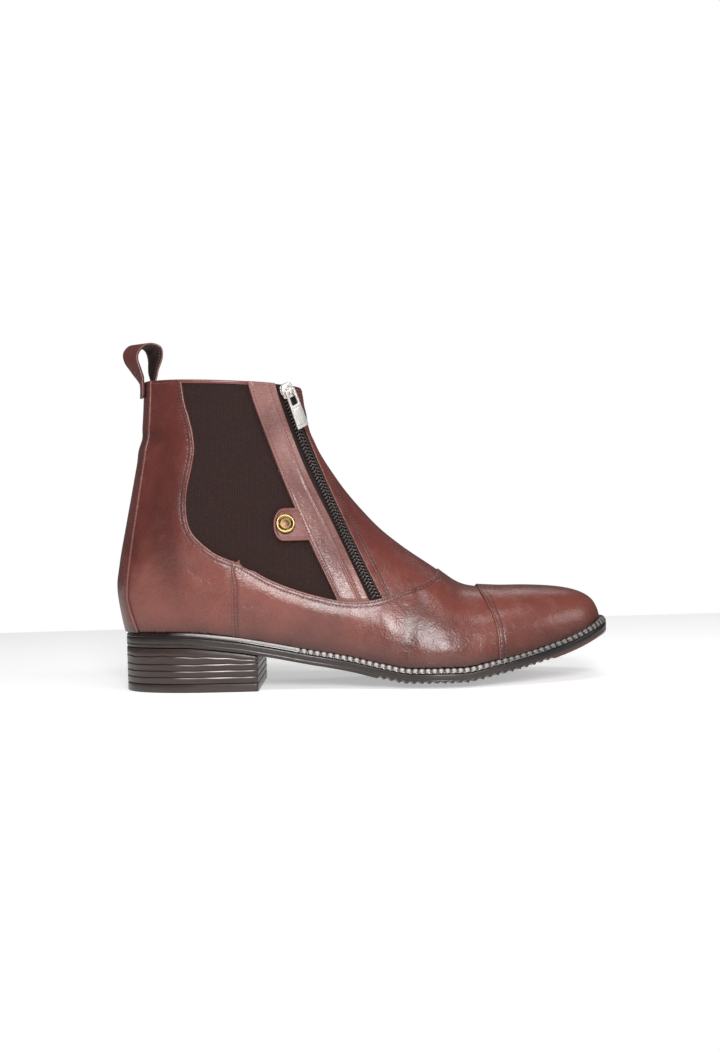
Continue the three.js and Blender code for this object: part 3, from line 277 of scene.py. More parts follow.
def half_section(width, wide, foot, top, height, count):
    angle = np.linspace(0, math.pi, FINE + 1)
    lower = angle <= math.pi / 2
    power = 2 / np.where(lower, foot, top)
    along = np.abs(np.cos(angle)) ** power
    share = np.where(lower, wide * (1 - along), wide + (1 - wide) * along)
    side = width * np.abs(np.sin(angle)) ** power
    lengths = np.concatenate([[0], np.cumsum(np.hypot(np.diff(share) * height, np.diff(side)))])
    if lengths[-1] <= 0:
        return np.zeros((count + 1, 2))
    targets = np.linspace(0, lengths[-1], count + 1)
    return np.stack([np.interp(targets, lengths, share), np.interp(targets, lengths, side)], axis=1)


def section(u, around):
    """One closed section, up the outer side and down the inner one, with its first point again at the end."""
    back_x, back_z, front_x, front_z, outer, inner, lean, wide, foot_outer, foot_inner, top = frame_at(u)
    height = math.hypot(front_x - back_x, front_z - back_z)
    half = around // 2
    outer_side = half_section(outer, wide, foot_outer, top, height, half)
    inner_side = half_section(inner, wide, foot_inner, top, height, half)
    share = np.concatenate([outer_side[:, 0], inner_side[-2::-1, 0]])
    y = np.concatenate([-outer_side[:, 1], inner_side[-2::-1, 1]]) + lean * share
    return np.stack([back_x + (front_x - back_x) * share, y, back_z + (front_z - back_z) * share], axis=1)


ROWS = 300
AROUND = 256


def even_stations(count):
    """Stations along the loft at equal steps of its mean length."""
    trial = np.linspace(0, LAST_ROW, 400)
    rings = np.array([section(u, 16) for u in trial])
    lengths = np.linalg.norm(np.diff(rings, axis=0), axis=2)[:, :16].mean(axis=1)
    total = np.concatenate([[0], np.cumsum(lengths)])
    return np.interp(np.linspace(0, total[-1], count + 1), total, trial)


def loft_table():
    stations = even_stations(ROWS)
    table = np.array([section(u, AROUND) for u in stations])
    around = np.roll(table[:, :-1], -1, axis=1) - np.roll(table[:, :-1], 1, axis=1)
    around = np.concatenate([around, around[:, :1]], axis=1)
    along = np.empty_like(table)
    along[1:-1] = table[2:] - table[:-2]
    along[0] = table[1] - table[0]
    along[-1] = table[-1] - table[-2]
    normal = np.cross(around, along)
    size = np.linalg.norm(normal, axis=2, keepdims=True)
    normal = normal / np.where(size == 0, 1, size)
    normal[0] = (1, 0, 0)
    return table, normal


TABLE, NORMAL = loft_table()


def from_table(table, places):
    """Values at fractional rows and columns."""
    r = np.clip(places[:, 0], 0, ROWS)
    c = np.clip(places[:, 1], 0, AROUND)
    i = np.minimum(r.astype(int), ROWS - 1)
    j = np.minimum(c.astype(int), AROUND - 1)
    a, b = (r - i)[:, None], (c - j)[:, None]
    return ((1 - a) * (1 - b) * table[i, j] + a * (1 - b) * table[i + 1, j]
            + (1 - a) * b * table[i, j + 1] + a * b * table[i + 1, j + 1])

# Places on the upper, found from the side

def in_outline(points, outline):
    """Which points lie inside a closed outline."""
    outline = np.asarray(outline, float)
    inside = np.zeros(len(points), bool)
    for a, b in zip(outline, np.roll(outline, -1, axis=0)):
        if a[1] == b[1]:
            continue
        crosses = (a[1] > points[:, 1]) != (b[1] > points[:, 1])
        at = a[0] + (points[:, 1] - a[1]) * (b[0] - a[0]) / (b[1] - a[1])
        inside ^= crosses & (points[:, 0] < at)
    return inside


def surface_tree():
    index = np.arange(TABLE.shape[0] * TABLE.shape[1]).reshape(TABLE.shape[:2])
    quads = np.stack([index[:-1, :-1], index[:-1, 1:], index[1:, 1:], index[1:, :-1]], axis=2)
    return BVHTree.FromPolygons(TABLE.reshape(-1, 3).tolist(), quads.reshape(-1, 4).tolist())


SURFACE = surface_tree()
OUTER, INNER = -1, 1


def on_side(x, z, side=OUTER):
    """Where a line across the boot meets the upper's outer or inner side, and the normal there."""
    hit = SURFACE.ray_cast(Vector((x, side * REACH, z)), Vector((0, -side, 0)))
    if hit[0] is None:
        return None
    normal = hit[1] if hit[1].y * side > 0 else -hit[1]
    return np.array(hit[0]), np.array(normal)


def seam(shares, side, steps=10):
    """A line seen from the side, laid on one side of the upper."""
    places = [on_side(x, z, side) for x, z in side_curve(shares, steps)]
    return np.array([place[0] for place in places if place])


def drawn_on(line, start=True, end=True, length=25.0):
    """The same line, going straight on past its ends."""
    parts = [line]
    if start:
        step = line[0] - line[1]
        parts.insert(0, (line[0] + step / np.linalg.norm(step) * length)[None])
    if end:
        step = line[-1] - line[-2]
        parts.append((line[-1] + step / np.linalg.norm(step) * length)[None])
    return np.vstack(parts)


def over_top(shares):
    """A seam that runs up the outer side, over the ridge and down the inner side."""
    outer, inner = seam(shares, OUTER), seam(shares, INNER)
    return drawn_on(np.vstack([outer, inner[::-1]]))


def nearest(points, line):
    """Distance to an open line, and the share of the way along it."""
    steps = np.linalg.norm(np.diff(line, axis=0), axis=1)
    starts = np.concatenate([[0], np.cumsum(steps)])
    best = np.full(len(points), np.inf)
    share = np.zeros(len(points))
    for i, (a, b) in enumerate(zip(line[:-1], line[1:])):
        step = b - a
        t = np.clip(((points - a) @ step) / max(step @ step, 1e-9), 0, 1)
        gap = points - a - t[:, None] * step
        distance = np.einsum("ij,ij->i", gap, gap)
        nearer = distance < best
        best = np.where(nearer, distance, best)
        share = np.where(nearer, (starts[i] + t * steps[i]) / starts[-1], share)
    return np.sqrt(best), share


# Fields: a value at each place of the table. They cut, round and mark the pieces

GRID = TABLE.reshape(-1, 3)
GRID_SIDE = GRID[:, [0, 2]]
GRID_OUTER = np.broadcast_to(np.arange(AROUND + 1) < AROUND / 2, TABLE.shape[:2]).ravel()


def reach(*corners):
    return np.array([(x * REACH, z * REACH) for x, z in corners])


def field(lines, positive):
    """Distance to the nearest of the lines, above 0 where positive says so."""
    distance = np.minimum.reduce([nearest(GRID, line)[0] for line in lines])
    return np.where(positive, distance, -distance).reshape(TABLE.shape[:2])


def lines_on_both(shares):
    return [drawn_on(seam(shares, OUTER)), drawn_on(seam(shares, INNER))]


VAMP_OUTLINE = np.vstack([
    side_curve(SIDE_SEAM)[:0:-1], side_curve(VAMP_EDGE), reach((1.2, 1), (1.2, -1), (0.237, -1)),
])
CAP_OUTLINE = np.vstack([side_curve(CAP_SEAM), reach((1.2, -1), (1.2, 1))])
BACKSTAY_OUTLINE = np.vstack([side_curve(BACKSTAY_EDGE), reach((-1, -1), (-1, 1))])
QUARTER_LINE = [*QUARTER_EDGE, SIDE_SEAM[0]]
QUARTER_UNDER = [(x + 0.018, z) for x, z in SIDE_SEAM]
QUARTER_OUTLINE = np.vstack([
    side_curve(QUARTER_LINE), side_curve(QUARTER_UNDER), reach((-1, -1), (-1, 1)),
])
CORNERS_AHEAD = reach((2, -1), (2, 1))

ABOVE_BED = (GRID[:, 2] - bed(GRID[:, 0])).reshape(TABLE.shape[:2])
COLLAR_BACK, COLLAR_FRONT = TABLE[-1, 0], TABLE[-1, AROUND // 2]
COLLAR_SLOPE = (COLLAR_FRONT[2] - COLLAR_BACK[2]) / (COLLAR_FRONT[0] - COLLAR_BACK[0])
COLLAR_HEIGHT = COLLAR_BACK[2] + COLLAR_SLOPE * (GRID[:, 0] - COLLAR_BACK[0])
COLLAR_DROP = (COLLAR_HEIGHT - GRID[:, 2]).reshape(TABLE.shape[:2])
OUTER_SIDE = GRID_OUTER.reshape(TABLE.shape[:2])


def ahead_of(shares):
    """Which places lie in front of a line that runs from the collar down."""
    return in_outline(GRID_SIDE, np.vstack([side_curve(shares), CORNERS_AHEAD]))


QUARTER_LINES = lines_on_both(QUARTER_LINE) + lines_on_both(QUARTER_UNDER)
QUARTER = field(QUARTER_LINES, in_outline(GRID_SIDE, QUARTER_OUTLINE))
QUARTER_SEWN = field(lines_on_both(QUARTER_LINE), in_outline(GRID_SIDE, QUARTER_OUTLINE))
VAMP = field(
    [over_top([*SIDE_SEAM[:0:-1], *VAMP_EDGE])], in_outline(GRID_SIDE, VAMP_OUTLINE))
CAP = field([over_top(CAP_SEAM[::-1])], in_outline(GRID_SIDE, CAP_OUTLINE))
BACKSTAY = field(lines_on_both(BACKSTAY_EDGE), in_outline(GRID_SIDE, BACKSTAY_OUTLINE))
FACING_LEFT = field([drawn_on(seam(FACING_BACK, OUTER))], GRID_OUTER & ahead_of(FACING_BACK))
FACING_RIGHT = field([drawn_on(seam(FACING_FRONT, OUTER))], ~(GRID_OUTER & ahead_of(FACING_FRONT)))
PANEL = field(
    [drawn_on(seam(PANEL_EDGE, OUTER)), drawn_on(seam(FACING_BACK, INNER))],
    np.where(GRID_OUTER, ahead_of(PANEL_EDGE), ahead_of(FACING_BACK)))
ZIP_LINE = seam(ZIP_MIDDLE, OUTER, 16)
WINDOW = np.minimum(-QUARTER, np.where(OUTER_SIDE, -FACING_LEFT, -PANEL))
WINDOW = np.minimum(WINDOW, -VAMP)

# Sheets: pieces cut from the upper's surface

class Sheet:
    """Triangles on the table. A place is a fractional row and column of it."""

    def __init__(self, near=None, pitch=1.0):
        rows, columns = (0, ROWS), (0, AROUND)
        if near is not None:
            r, c = np.nonzero(near > -3)
            rows = (max(0, r.min() - 1), min(ROWS, r.max() + 1))
            columns = (max(0, c.min() - 1), min(AROUND, c.max() + 1))
        r = np.linspace(*rows, int(round((rows[1] - rows[0]) / pitch)) + 1)
        c = np.linspace(*columns, int(round((columns[1] - columns[0]) / pitch)) + 1)
        grid = np.stack(np.meshgrid(r, c, indexing="ij"), axis=2)
        index = np.arange(len(r) * len(c)).reshape(len(r), len(c))
        a, b, d, e = index[:-1, :-1], index[:-1, 1:], index[1:, 1:], index[1:, :-1]
        self.set(grid.reshape(-1, 2), np.concatenate([
            np.stack([a, b, d], axis=2).reshape(-1, 3), np.stack([a, d, e], axis=2).reshape(-1, 3),
        ]))

    def set(self, places, triangles):
        self.places = places
        self.triangles = triangles

    def lay(self):
        """Finds the points and normals, once all cuts are made."""
        self.points = from_table(TABLE, self.places)
        normals = from_table(NORMAL, self.places)
        self.normals = normals / np.linalg.norm(normals, axis=1, keepdims=True)
        return self

    def value(self, field):
        return from_table(field[..., None], self.places)[:, 0]

    def split(self, field, level=0.0):
        """Adds edges along the line where the field has that level."""
        values = self.value(field) - level
        values = np.where(np.abs(values) < 1e-5, 1e-5, values)
        above = values > 0
        count = above[self.triangles].sum(axis=1)
        mixed = (count == 1) | (count == 2)
        whole, cut = self.triangles[~mixed], self.triangles[mixed]
        if not len(cut):
            return self
        odd_is_above = above[cut].sum(axis=1) == 1
        odd = np.argmax(above[cut] == odd_is_above[:, None], axis=1)
        row = np.arange(len(cut))
        a, b, c = cut[row, odd], cut[row, (odd + 1) % 3], cut[row, (odd + 2) % 3]
        pairs = np.sort(np.concatenate([np.stack([a, b], 1), np.stack([a, c], 1)]), axis=1)
        unique, inverse = np.unique(pairs, axis=0, return_inverse=True)
        inverse = inverse.reshape(-1)
        first, second = values[unique[:, 0]], values[unique[:, 1]]
        t = (first / (first - second))[:, None]
        added = self.places[unique[:, 0]] * (1 - t) + self.places[unique[:, 1]] * t
        start = len(self.places)
        ab, ac = start + inverse[:len(cut)], start + inverse[len(cut):]
        self.set(np.vstack([self.places, added]), np.concatenate([
            whole, np.stack([a, ab, ac], 1), np.stack([ab, b, c], 1), np.stack([ab, c, ac], 1),
        ]))
        return self

    def keep(self, field, level=0.0):
        """Cuts along the level and drops what lies below it."""
        self.split(field, level)
        centres = self.value(field)[self.triangles].mean(axis=1)
        triangles = self.triangles[centres > level]
        used, inverse = np.unique(triangles, return_inverse=True)
        self.set(self.places[used], inverse.reshape(-1, 3))
        return self

    def weld(self):
        """Joins the two ends of each ring, and the points of the toe tip."""
        places = self.places.copy()
        places[:, 1] = np.where(np.abs(places[:, 1] - AROUND) < 1e-6, 0, places[:, 1])
        places[:, 1] = np.where(places[:, 0] < 1e-6, 0, places[:, 1])
        keys, first, inverse = np.unique(
            np.round(places * 2e3).astype(np.int64), axis=0, return_index=True, return_inverse=True)
        triangles = inverse.reshape(-1)[self.triangles]
        a, b, c = triangles.T
        self.set(self.places[first], triangles[(a != b) & (b != c) & (c != a)])
        return self.lay()

# Meshes

def to_row_frame(points):
    """From drawn millimetres to metres from the boot's origin."""
    points = np.asarray(points, float)
    return (points - np.array([HEEL_LENGTH / 2, 0, 0])) / 1000


def mesh_object(name, points, faces, material, body="boot", smooth=True, marks=None, drawn=True):
    """A mesh from points and faces of three or four corners, with a float attribute for each mark."""
    points = to_row_frame(points) if drawn else np.asarray(points, float)
    mesh = bpy.data.meshes.new(name)
    faces = [np.asarray(group, np.int32) for group in (faces if isinstance(faces, list) else [faces])]
    faces = [group for group in faces if len(group)]
    mesh.vertices.add(len(points))
    mesh.vertices.foreach_set("co", points.astype(np.float32).ravel())
    corners = np.concatenate([group.ravel() for group in faces])
    sizes = np.concatenate([np.full(len(group), group.shape[1]) for group in faces])
    mesh.loops.add(len(corners))
    mesh.loops.foreach_set("vertex_index", corners)
    mesh.polygons.add(len(sizes))
    mesh.polygons.foreach_set("loop_start", np.concatenate([[0], np.cumsum(sizes)[:-1]]).astype(np.int32))
    mesh.polygons.foreach_set("use_smooth", np.full(len(sizes), smooth))
    for mark, values in (marks or {}).items():
        attribute = mesh.attributes.new(mark, "FLOAT", "POINT")
        attribute.data.foreach_set("value", np.asarray(values, np.float32))
    mesh.update()
    mesh.validate()
    piece = bpy.data.objects.new(name, mesh)
    bpy.context.scene.collection.objects.link(piece)
    piece.data.materials.append(material)
    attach(piece, body)
    return piece


def boundary(triangles):
    """The directed edges that only one triangle uses."""
    edges = np.concatenate([triangles[:, [0, 1]], triangles[:, [1, 2]], triangles[:, [2, 0]]])
    keys = np.sort(edges, axis=1)
    _, inverse, counts = np.unique(keys, axis=0, return_inverse=True, return_counts=True)
    return edges[counts[inverse.reshape(-1)] == 1]


def closed_sheet(sheet, outer, inner):
    """Points and triangles of the solid between two heights over the surface."""
    size = len(sheet.points)
    points = np.vstack([
        sheet.points + sheet.normals * np.asarray(outer)[:, None],
        sheet.points + sheet.normals * np.asarray(inner)[:, None],
    ])
    rim = boundary(sheet.triangles)
    a, b = rim[:, 0], rim[:, 1]
    walls = np.concatenate([np.stack([b, a, a + size], 1), np.stack([b, a + size, b + size], 1)])
    return points, np.concatenate([sheet.triangles, sheet.triangles[:, ::-1] + size, walls])


def rounded(distance, height, radius):
    """A height that falls off in a quarter round at the edge."""
    d = np.clip(distance, 0, radius)
    return height - radius + np.sqrt(np.maximum(radius ** 2 - (radius - d) ** 2, 0))


def bell(distance, width):
    return np.exp(-(distance / width) ** 2)

# Materials

class Shader:
    """A material with a few short ways to add nodes. Sizes are given in metres."""

    def __init__(self, name, **settings):
        self.material = bpy.data.materials.new(name)
        self.material.use_nodes = True
        self.tree = self.material.node_tree
        self.surface = self.tree.nodes["Principled BSDF"]
        self.place = self.tree.nodes.new("ShaderNodeTexCoord").outputs["Object"]
        self.set(**settings)

    def set(self, **settings):
        for name, value in settings.items():
            self.join(self.surface.inputs[name.replace("_", " ").title().replace("Ior", "IOR")], value)

    def join(self, socket, value):
        if isinstance(value, bpy.types.NodeSocket):
            self.tree.links.new(value, socket)
        elif isinstance(value, tuple) and len(value) == 3 and socket.type == "RGBA":
            socket.default_value = (*value, 1)
        else:
            socket.default_value = value

    def node(self, kind, inputs, output=0, **properties):
        node = self.tree.nodes.new(kind)
        for name, value in properties.items():
            setattr(node, name, value)
        for name, value in inputs.items():
            self.join(node.inputs[name], value)
        return node.outputs[output]

    def mark(self, name):
        return self.node("ShaderNodeAttribute", {}, "Fac", attribute_name=name)

    def noise(self, size, detail=3.0, distortion=0.0, vector=None):
        return self.node("ShaderNodeTexNoise", {
            "Vector": vector or self.place, "Scale": 1 / size, "Detail": detail, "Distortion": distortion,
        })

    def cells(self, size, feature="F1", vector=None, randomness=1.0):
        return self.node("ShaderNodeTexVoronoi", {
            "Vector": vector or self.place, "Scale": 1 / size, "Randomness": randomness,
        }, "Distance", feature=feature)

    def axis(self, name):
        return self.node("ShaderNodeSeparateXYZ", {"Vector": self.place}, name)

    def bands(self, value, pitch):
        """A wave from 0 to 1 with that pitch."""
        turned = self.math("MULTIPLY", value, 2 * math.pi / pitch)
        return self.ramp(self.math("COSINE", turned), -1, 1)

    def stretched(self, scale):
        return self.node("ShaderNodeMapping", {"Vector": self.place, "Scale": scale})

    def math(self, operation, a, b=0.0, clamp=False):
        return self.node("ShaderNodeMath", {0: a, 1: b}, operation=operation, use_clamp=clamp)

    def ramp(self, value, low, high, to_low=0.0, to_high=1.0):
        return self.node("ShaderNodeMapRange", {
            "Value": value, "From Min": low, "From Max": high, "To Min": to_low, "To Max": to_high,
        })

    def mix(self, share, a, b, blend="MIX"):
        node = self.tree.nodes.new("ShaderNodeMix")
        node.data_type = "RGBA"
        node.blend_type = blend
        self.join(node.inputs["Factor"], share)
        self.join(node.inputs["A"], a)
        self.join(node.inputs["B"], b)
        return node.outputs["Result"]

    def bump(self, height, depth, before=None):
        inputs = {"Height": height, "Strength": 1.0, "Distance": depth}
        if before:
            inputs["Normal"] = before
        return self.node("ShaderNodeBump", inputs)


def leather(name, colour, dark, pale, warm, roughness=0.31, crinkle=0.0, grain=0.13 * MM):
    """Waxed calf: a fine grain, painted shade in the troughs, stitch rows and along the welt, and pale edges
    that are partly rubbed wear and partly a painted highlight.
    """
    s = Shader(name, specular_ior_level=0.5, coat_weight=0.16, coat_roughness=0.22)
    cloud = s.noise(45 * MM, 2.0, 0.3)
    mottle = s.noise(9 * MM, 3.0, 0.4)
    fine = s.noise(0.9 * MM, 3.0)
    base = s.mix(s.mark("warm"), colour, warm)
    base = s.mix(s.ramp(cloud, 0.42, 0.66, 0.0, 0.62), base, dark)
    base = s.mix(s.ramp(mottle, 0.50, 0.80, 0.0, 0.12), base, pale)
    base = s.mix(s.ramp(fine, 0.45, 0.75, 0.0, 0.20), base, dark)
    # Painted shade: the shade mark darkens the colour in the stitch rows, the fold troughs and low along the
    # welt.
    base = s.mix(s.math("MULTIPLY", s.mark("shade"), 0.85, clamp=True), base, tuple(0.3 * c for c in dark))
    # Pale edges and fold ridges: partly rubbed wear, partly a painted highlight.
    base = s.mix(s.math("MULTIPLY", s.mark("rub"), 0.32, clamp=True), base, pale)
    pores = s.cells(1.15 * MM, "SMOOTH_F1")
    hide = s.cells(3.4 * MM, "SMOOTH_F1")
    height = s.math("ADD", s.math("MULTIPLY", pores, 0.8), s.math("MULTIPLY", fine, 0.9))
    height = s.math("ADD", height, s.math("MULTIPLY", hide, 1.1))
    normal = s.bump(height, grain)
    normal = s.bump(s.noise(14 * MM, 2.0), 0.7 * MM, normal)
    if crinkle:
        across = s.noise(1.3 * MM, 2.0, 0.8, s.stretched((0.3, 0.3, 1.2)))
        normal = s.bump(across, crinkle, normal)
    gloss = s.ramp(mottle, 0.3, 0.75, roughness - 0.05, roughness + 0.08)
    s.set(base_color=base, normal=normal, roughness=gloss)
    return s.material


def plain_leather(name, colour, dark, roughness):
    s = Shader(name, specular_ior_level=0.4)
    mottle = s.noise(5 * MM, 4.0)
    grain = s.cells(0.9 * MM, "SMOOTH_F1")
    s.set(base_color=s.mix(s.ramp(mottle, 0.35, 0.7), dark, colour), normal=s.bump(grain, 0.15 * MM),
          roughness=s.ramp(mottle, 0.3, 0.7, roughness, roughness + 0.12))
    return s.material


RIB_PITCH = 1.3


def elastic(name):
    """Woven elastic: upright ribs with crossing threads."""
    s = Shader(name, specular_ior_level=0.15, sheen_weight=0.08, sheen_roughness=0.5)
    x, z = s.axis("X"), s.axis("Z")
    ribs = s.bands(x, RIB_PITCH * MM)
    threads = s.bands(z, 0.62 * MM)
    speckle = s.noise(0.45 * MM, 2.0)
    base = s.mix(ribs, (0.019, 0.009, 0.008), (0.033, 0.016, 0.014))
    base = s.mix(s.math("MULTIPLY", threads, 0.35), base, (0.018, 0.010, 0.009))
    base = s.mix(s.ramp(speckle, 0.5, 0.8, 0, 0.5), base, (0.085, 0.048, 0.042))
    height = s.math("ADD", s.math("MULTIPLY", threads, 0.5), speckle)
    s.set(base_color=base, roughness=0.85, normal=s.bump(height, 0.2 * MM))
    return s.material


def polish(name, colour, pale, roughness, smear=0.7, coat=0.4, marks=()):
    """Inked and burnished sole edge, with another colour where a mark says so."""
    s = Shader(name, specular_ior_level=0.5, coat_weight=coat, coat_roughness=0.10)
    streak = s.noise(6 * MM, 4.0, 0.8, s.stretched((0.25, 0.25, 1.6)))
    fine = s.noise(0.8 * MM, 3.0, 0.0, s.stretched((0.2, 0.2, 1.3)))
    base = s.mix(s.ramp(streak, 0.45, 0.78, 0, smear), colour, pale)
    for mark, marked in marks:
        base = s.mix(s.mark(mark), base, marked)
    s.set(base_color=base, roughness=s.ramp(fine, 0.3, 0.8, roughness - 0.05, roughness + 0.12),
          normal=s.bump(fine, 0.035 * MM))
    return s.material


def metal(name, colour, roughness, recess=None):
    s = Shader(name, metallic=1.0)
    brushed = s.noise(0.5 * MM, 3.0, 0.0, s.stretched((3, 3, 0.25)))
    colour = s.mix(s.mark("recess"), colour, recess) if recess else colour
    s.set(base_color=colour, roughness=s.ramp(brushed, 0.3, 0.7, roughness * 0.7, roughness * 1.4),
          normal=s.bump(brushed, 0.01 * MM))
    return s.material


def thread(name, colour, dark):
    s = Shader(name, specular_ior_level=0.4, sheen_weight=0.2)
    twist = s.noise(0.25 * MM, 2.0)
    s.set(base_color=s.mix(s.ramp(twist, 0.35, 0.65), dark, colour), roughness=0.55,
          normal=s.bump(twist, 0.08 * MM))
    return s.material


def tape_cloth(name):
    s = Shader(name, specular_ior_level=0.2)
    weave = s.cells(0.55 * MM, "F1", randomness=0.35)
    base = s.mix(s.ramp(weave, 0.1, 0.7), (0.05, 0.028, 0.026), (0.012, 0.007, 0.007))
    s.set(base_color=base, roughness=0.85,
          normal=s.bump(weave, -0.2 * MM))
    return s.material


RED = (0.150, 0.034, 0.027)
RED_DARK = (0.066, 0.018, 0.016)
RED_PALE = (0.36, 0.15, 0.13)
RED_WARM = (0.215, 0.060, 0.042)

upper_leather = leather("upper_leather", RED, RED_DARK, RED_PALE, RED_WARM)
# Painted highlight: the facing is a paler, pinker copy of the upper's leather, standing in for the sheen on
# that band.
facing_leather_painted_highlight = leather(
    "facing_leather_painted_highlight", (0.28, 0.135, 0.122), RED_DARK, RED_PALE, RED_WARM, 0.27, 0.30 * MM)
tab_leather = leather("tab_leather", (0.17, 0.032, 0.024), (0.11, 0.024, 0.018), RED_PALE, RED_WARM, 0.46)
lining = plain_leather("lining_leather", (0.040, 0.022, 0.019), (0.014, 0.008, 0.007), 0.5)
elastic_cloth = elastic("elastic_cloth")
# Black polished welt; its mark paints pale highlights onto the bead tops and onto the plain bevel at the waist.
welt_polish = polish(
    "welt_polish", (0.010, 0.006, 0.005), (0.024, 0.016, 0.014), 0.15, 0.4, 0.8,
    [("painted_highlight", (0.50, 0.46, 0.44))])
edge_polish = polish(
    "edge_polish", (0.022, 0.014, 0.012), (0.050, 0.034, 0.030), 0.34, 0.6, 0.12,
    [("toe", (0.004, 0.003, 0.003)), ("lower", (0.060, 0.024, 0.018))])
# Polished heel; the groove mark paints shade deep in the grooves between the layers, the lip mark paints a pale
# highlight on the lips under them.
heel_polish = polish(
    "heel_polish", (0.034, 0.019, 0.016), (0.062, 0.039, 0.034), 0.36, 0.5, 0.12,
    [("groove", (0.004, 0.003, 0.003)), ("lip", (0.70, 0.62, 0.57))])
lift_rubber = polish("lift_rubber", (0.030, 0.020, 0.018), (0.060, 0.042, 0.038), 0.34, 0.5, 0.2)
sock_leather = plain_leather("sock_leather", (0.50, 0.33, 0.21), (0.38, 0.235, 0.145), 0.6)
zip_tape_cloth = tape_cloth("zip_tape_cloth")
coil_nylon = polish("coil_nylon", (0.034, 0.022, 0.019), (0.075, 0.05, 0.045), 0.20, 0.4, 0.5)
nickel = metal("nickel", (0.93, 0.90, 0.86), 0.40)
brass = metal("brass", (0.38, 0.25, 0.10), 0.28, (0.07, 0.042, 0.022))
red_thread = thread("red_thread", (0.24, 0.085, 0.075), (0.050, 0.015, 0.013))
dark_thread = thread("dark_thread", (0.030, 0.018, 0.016), (0.010, 0.006, 0.005))

# Relief: soft troughs and ridges of the leather, as places from the side in the seams' shares.
# side, depth (below 0) or height in millimetres, width, and the line
FOLDS = [
    ("outer", 1.0, 8.0, [(0.155, 0.49), (0.180, 0.355), (0.221, 0.262), (0.232, 0.13)]),
    ("outer", -0.9, 9.0, [(0.127, 0.80), (0.105, 0.56), (0.098, 0.33), (0.130, 0.09)]),
    ("outer", -0.30, 2.2, [(0.135, 0.285), (0.170, 0.215), (0.205, 0.197)]),
    ("outer", -0.28, 2.0, [(0.150, 0.195), (0.181, 0.160), (0.222, 0.168)]),
    ("outer", 0.28, 2.4, [(0.142, 0.242), (0.176, 0.187), (0.214, 0.182)]),
    ("outer", 0.9, 5.0, [(0.250, 0.228), (0.298, 0.180), (0.378, 0.152), (0.450, 0.140), (0.508, 0.158)]),
    ("outer", -0.6, 6.0, [(0.580, 0.255), (0.598, 0.170), (0.580, 0.04)]),
    ("outer", 0.6, 6.5, [(0.535, 0.20), (0.558, 0.13), (0.552, 0.04)]),
    ("outer", 1.0, 5.0, [(0.166, 0.56), (0.180, 0.46), (0.218, 0.37)]),
    ("outer", -0.6, 5.0, [(0.128, 0.58), (0.146, 0.47), (0.170, 0.36)]),
    ("outer", -0.4, 5.0, [(0.628, 0.24), (0.634, 0.13), (0.654, 0.02)]),
    ("outer", 0.6, 5.0, [(0.626, 0.055), (0.680, 0.062), (0.724, 0.055)]),
    ("outer", -0.35, 3.0, [(0.600, 0.33), (0.622, 0.26), (0.618, 0.20)]),
    ("both", -0.8, 3.6, [(-0.03, 0.765), (0.045, 0.745), (0.085, 0.752)]),
    ("both", 0.5, 4.0, [(-0.03, 0.70), (0.045, 0.69), (0.085, 0.70)]),
    ("inner", 0.8, 8.0, [(0.150, 0.48), (0.182, 0.35), (0.225, 0.25), (0.24, 0.12)]),
    ("inner", -0.8, 9.0, [(0.120, 0.78), (0.100, 0.55), (0.100, 0.32), (0.135, 0.10)]),
    ("inner", 0.7, 5.5, [(0.255, 0.225), (0.305, 0.178), (0.380, 0.150), (0.460, 0.142)]),
    ("inner", -0.9, 5.0, [(0.590, 0.27), (0.606, 0.175), (0.600, 0.05)]),
    ("inner", -0.6, 4.5, [(0.640, 0.24), (0.655, 0.13), (0.668, 0.03)]),
    ("inner", 0.6, 5.0, [(0.560, 0.20), (0.570, 0.12), (0.566, 0.05)]),
]

def relief():
    total = np.zeros(len(GRID))
    for side, depth, width, shares in FOLDS:
        distance, share = nearest(GRID_SIDE, side_curve(shares, 5))
        taper = np.sin(math.pi * np.clip(share * 0.9 + 0.05, 0, 1)) ** 0.8
        size = depth * bell(distance, width) * taper
        if side != "both":
            size = np.where(GRID_OUTER == (side == "outer"), size, 0)
        total += size
    # None where the leather is drawn over its welt, nor at the collar
    total = total.reshape(TABLE.shape[:2])
    return total * np.clip(ABOVE_BED / 8, 0, 1) * np.clip(COLLAR_DROP / 12, 0, 1)


RELIEF = relief()


# Stitches

STITCH_PITCH = 1.95
STITCH_LENGTH = 1.35
STITCH_RADIUS = 0.24
# Rings of one stitch: share of its length, share of its radius and lift in radii
STITCH_RINGS = [
    (-0.5, 0.35, -0.9), (-0.36, 0.85, -0.1), (0, 1.0, 0.25), (0.36, 0.85, -0.1), (0.5, 0.35, -0.9),
]
STITCH_SIDES = 6
stitch_lines = []


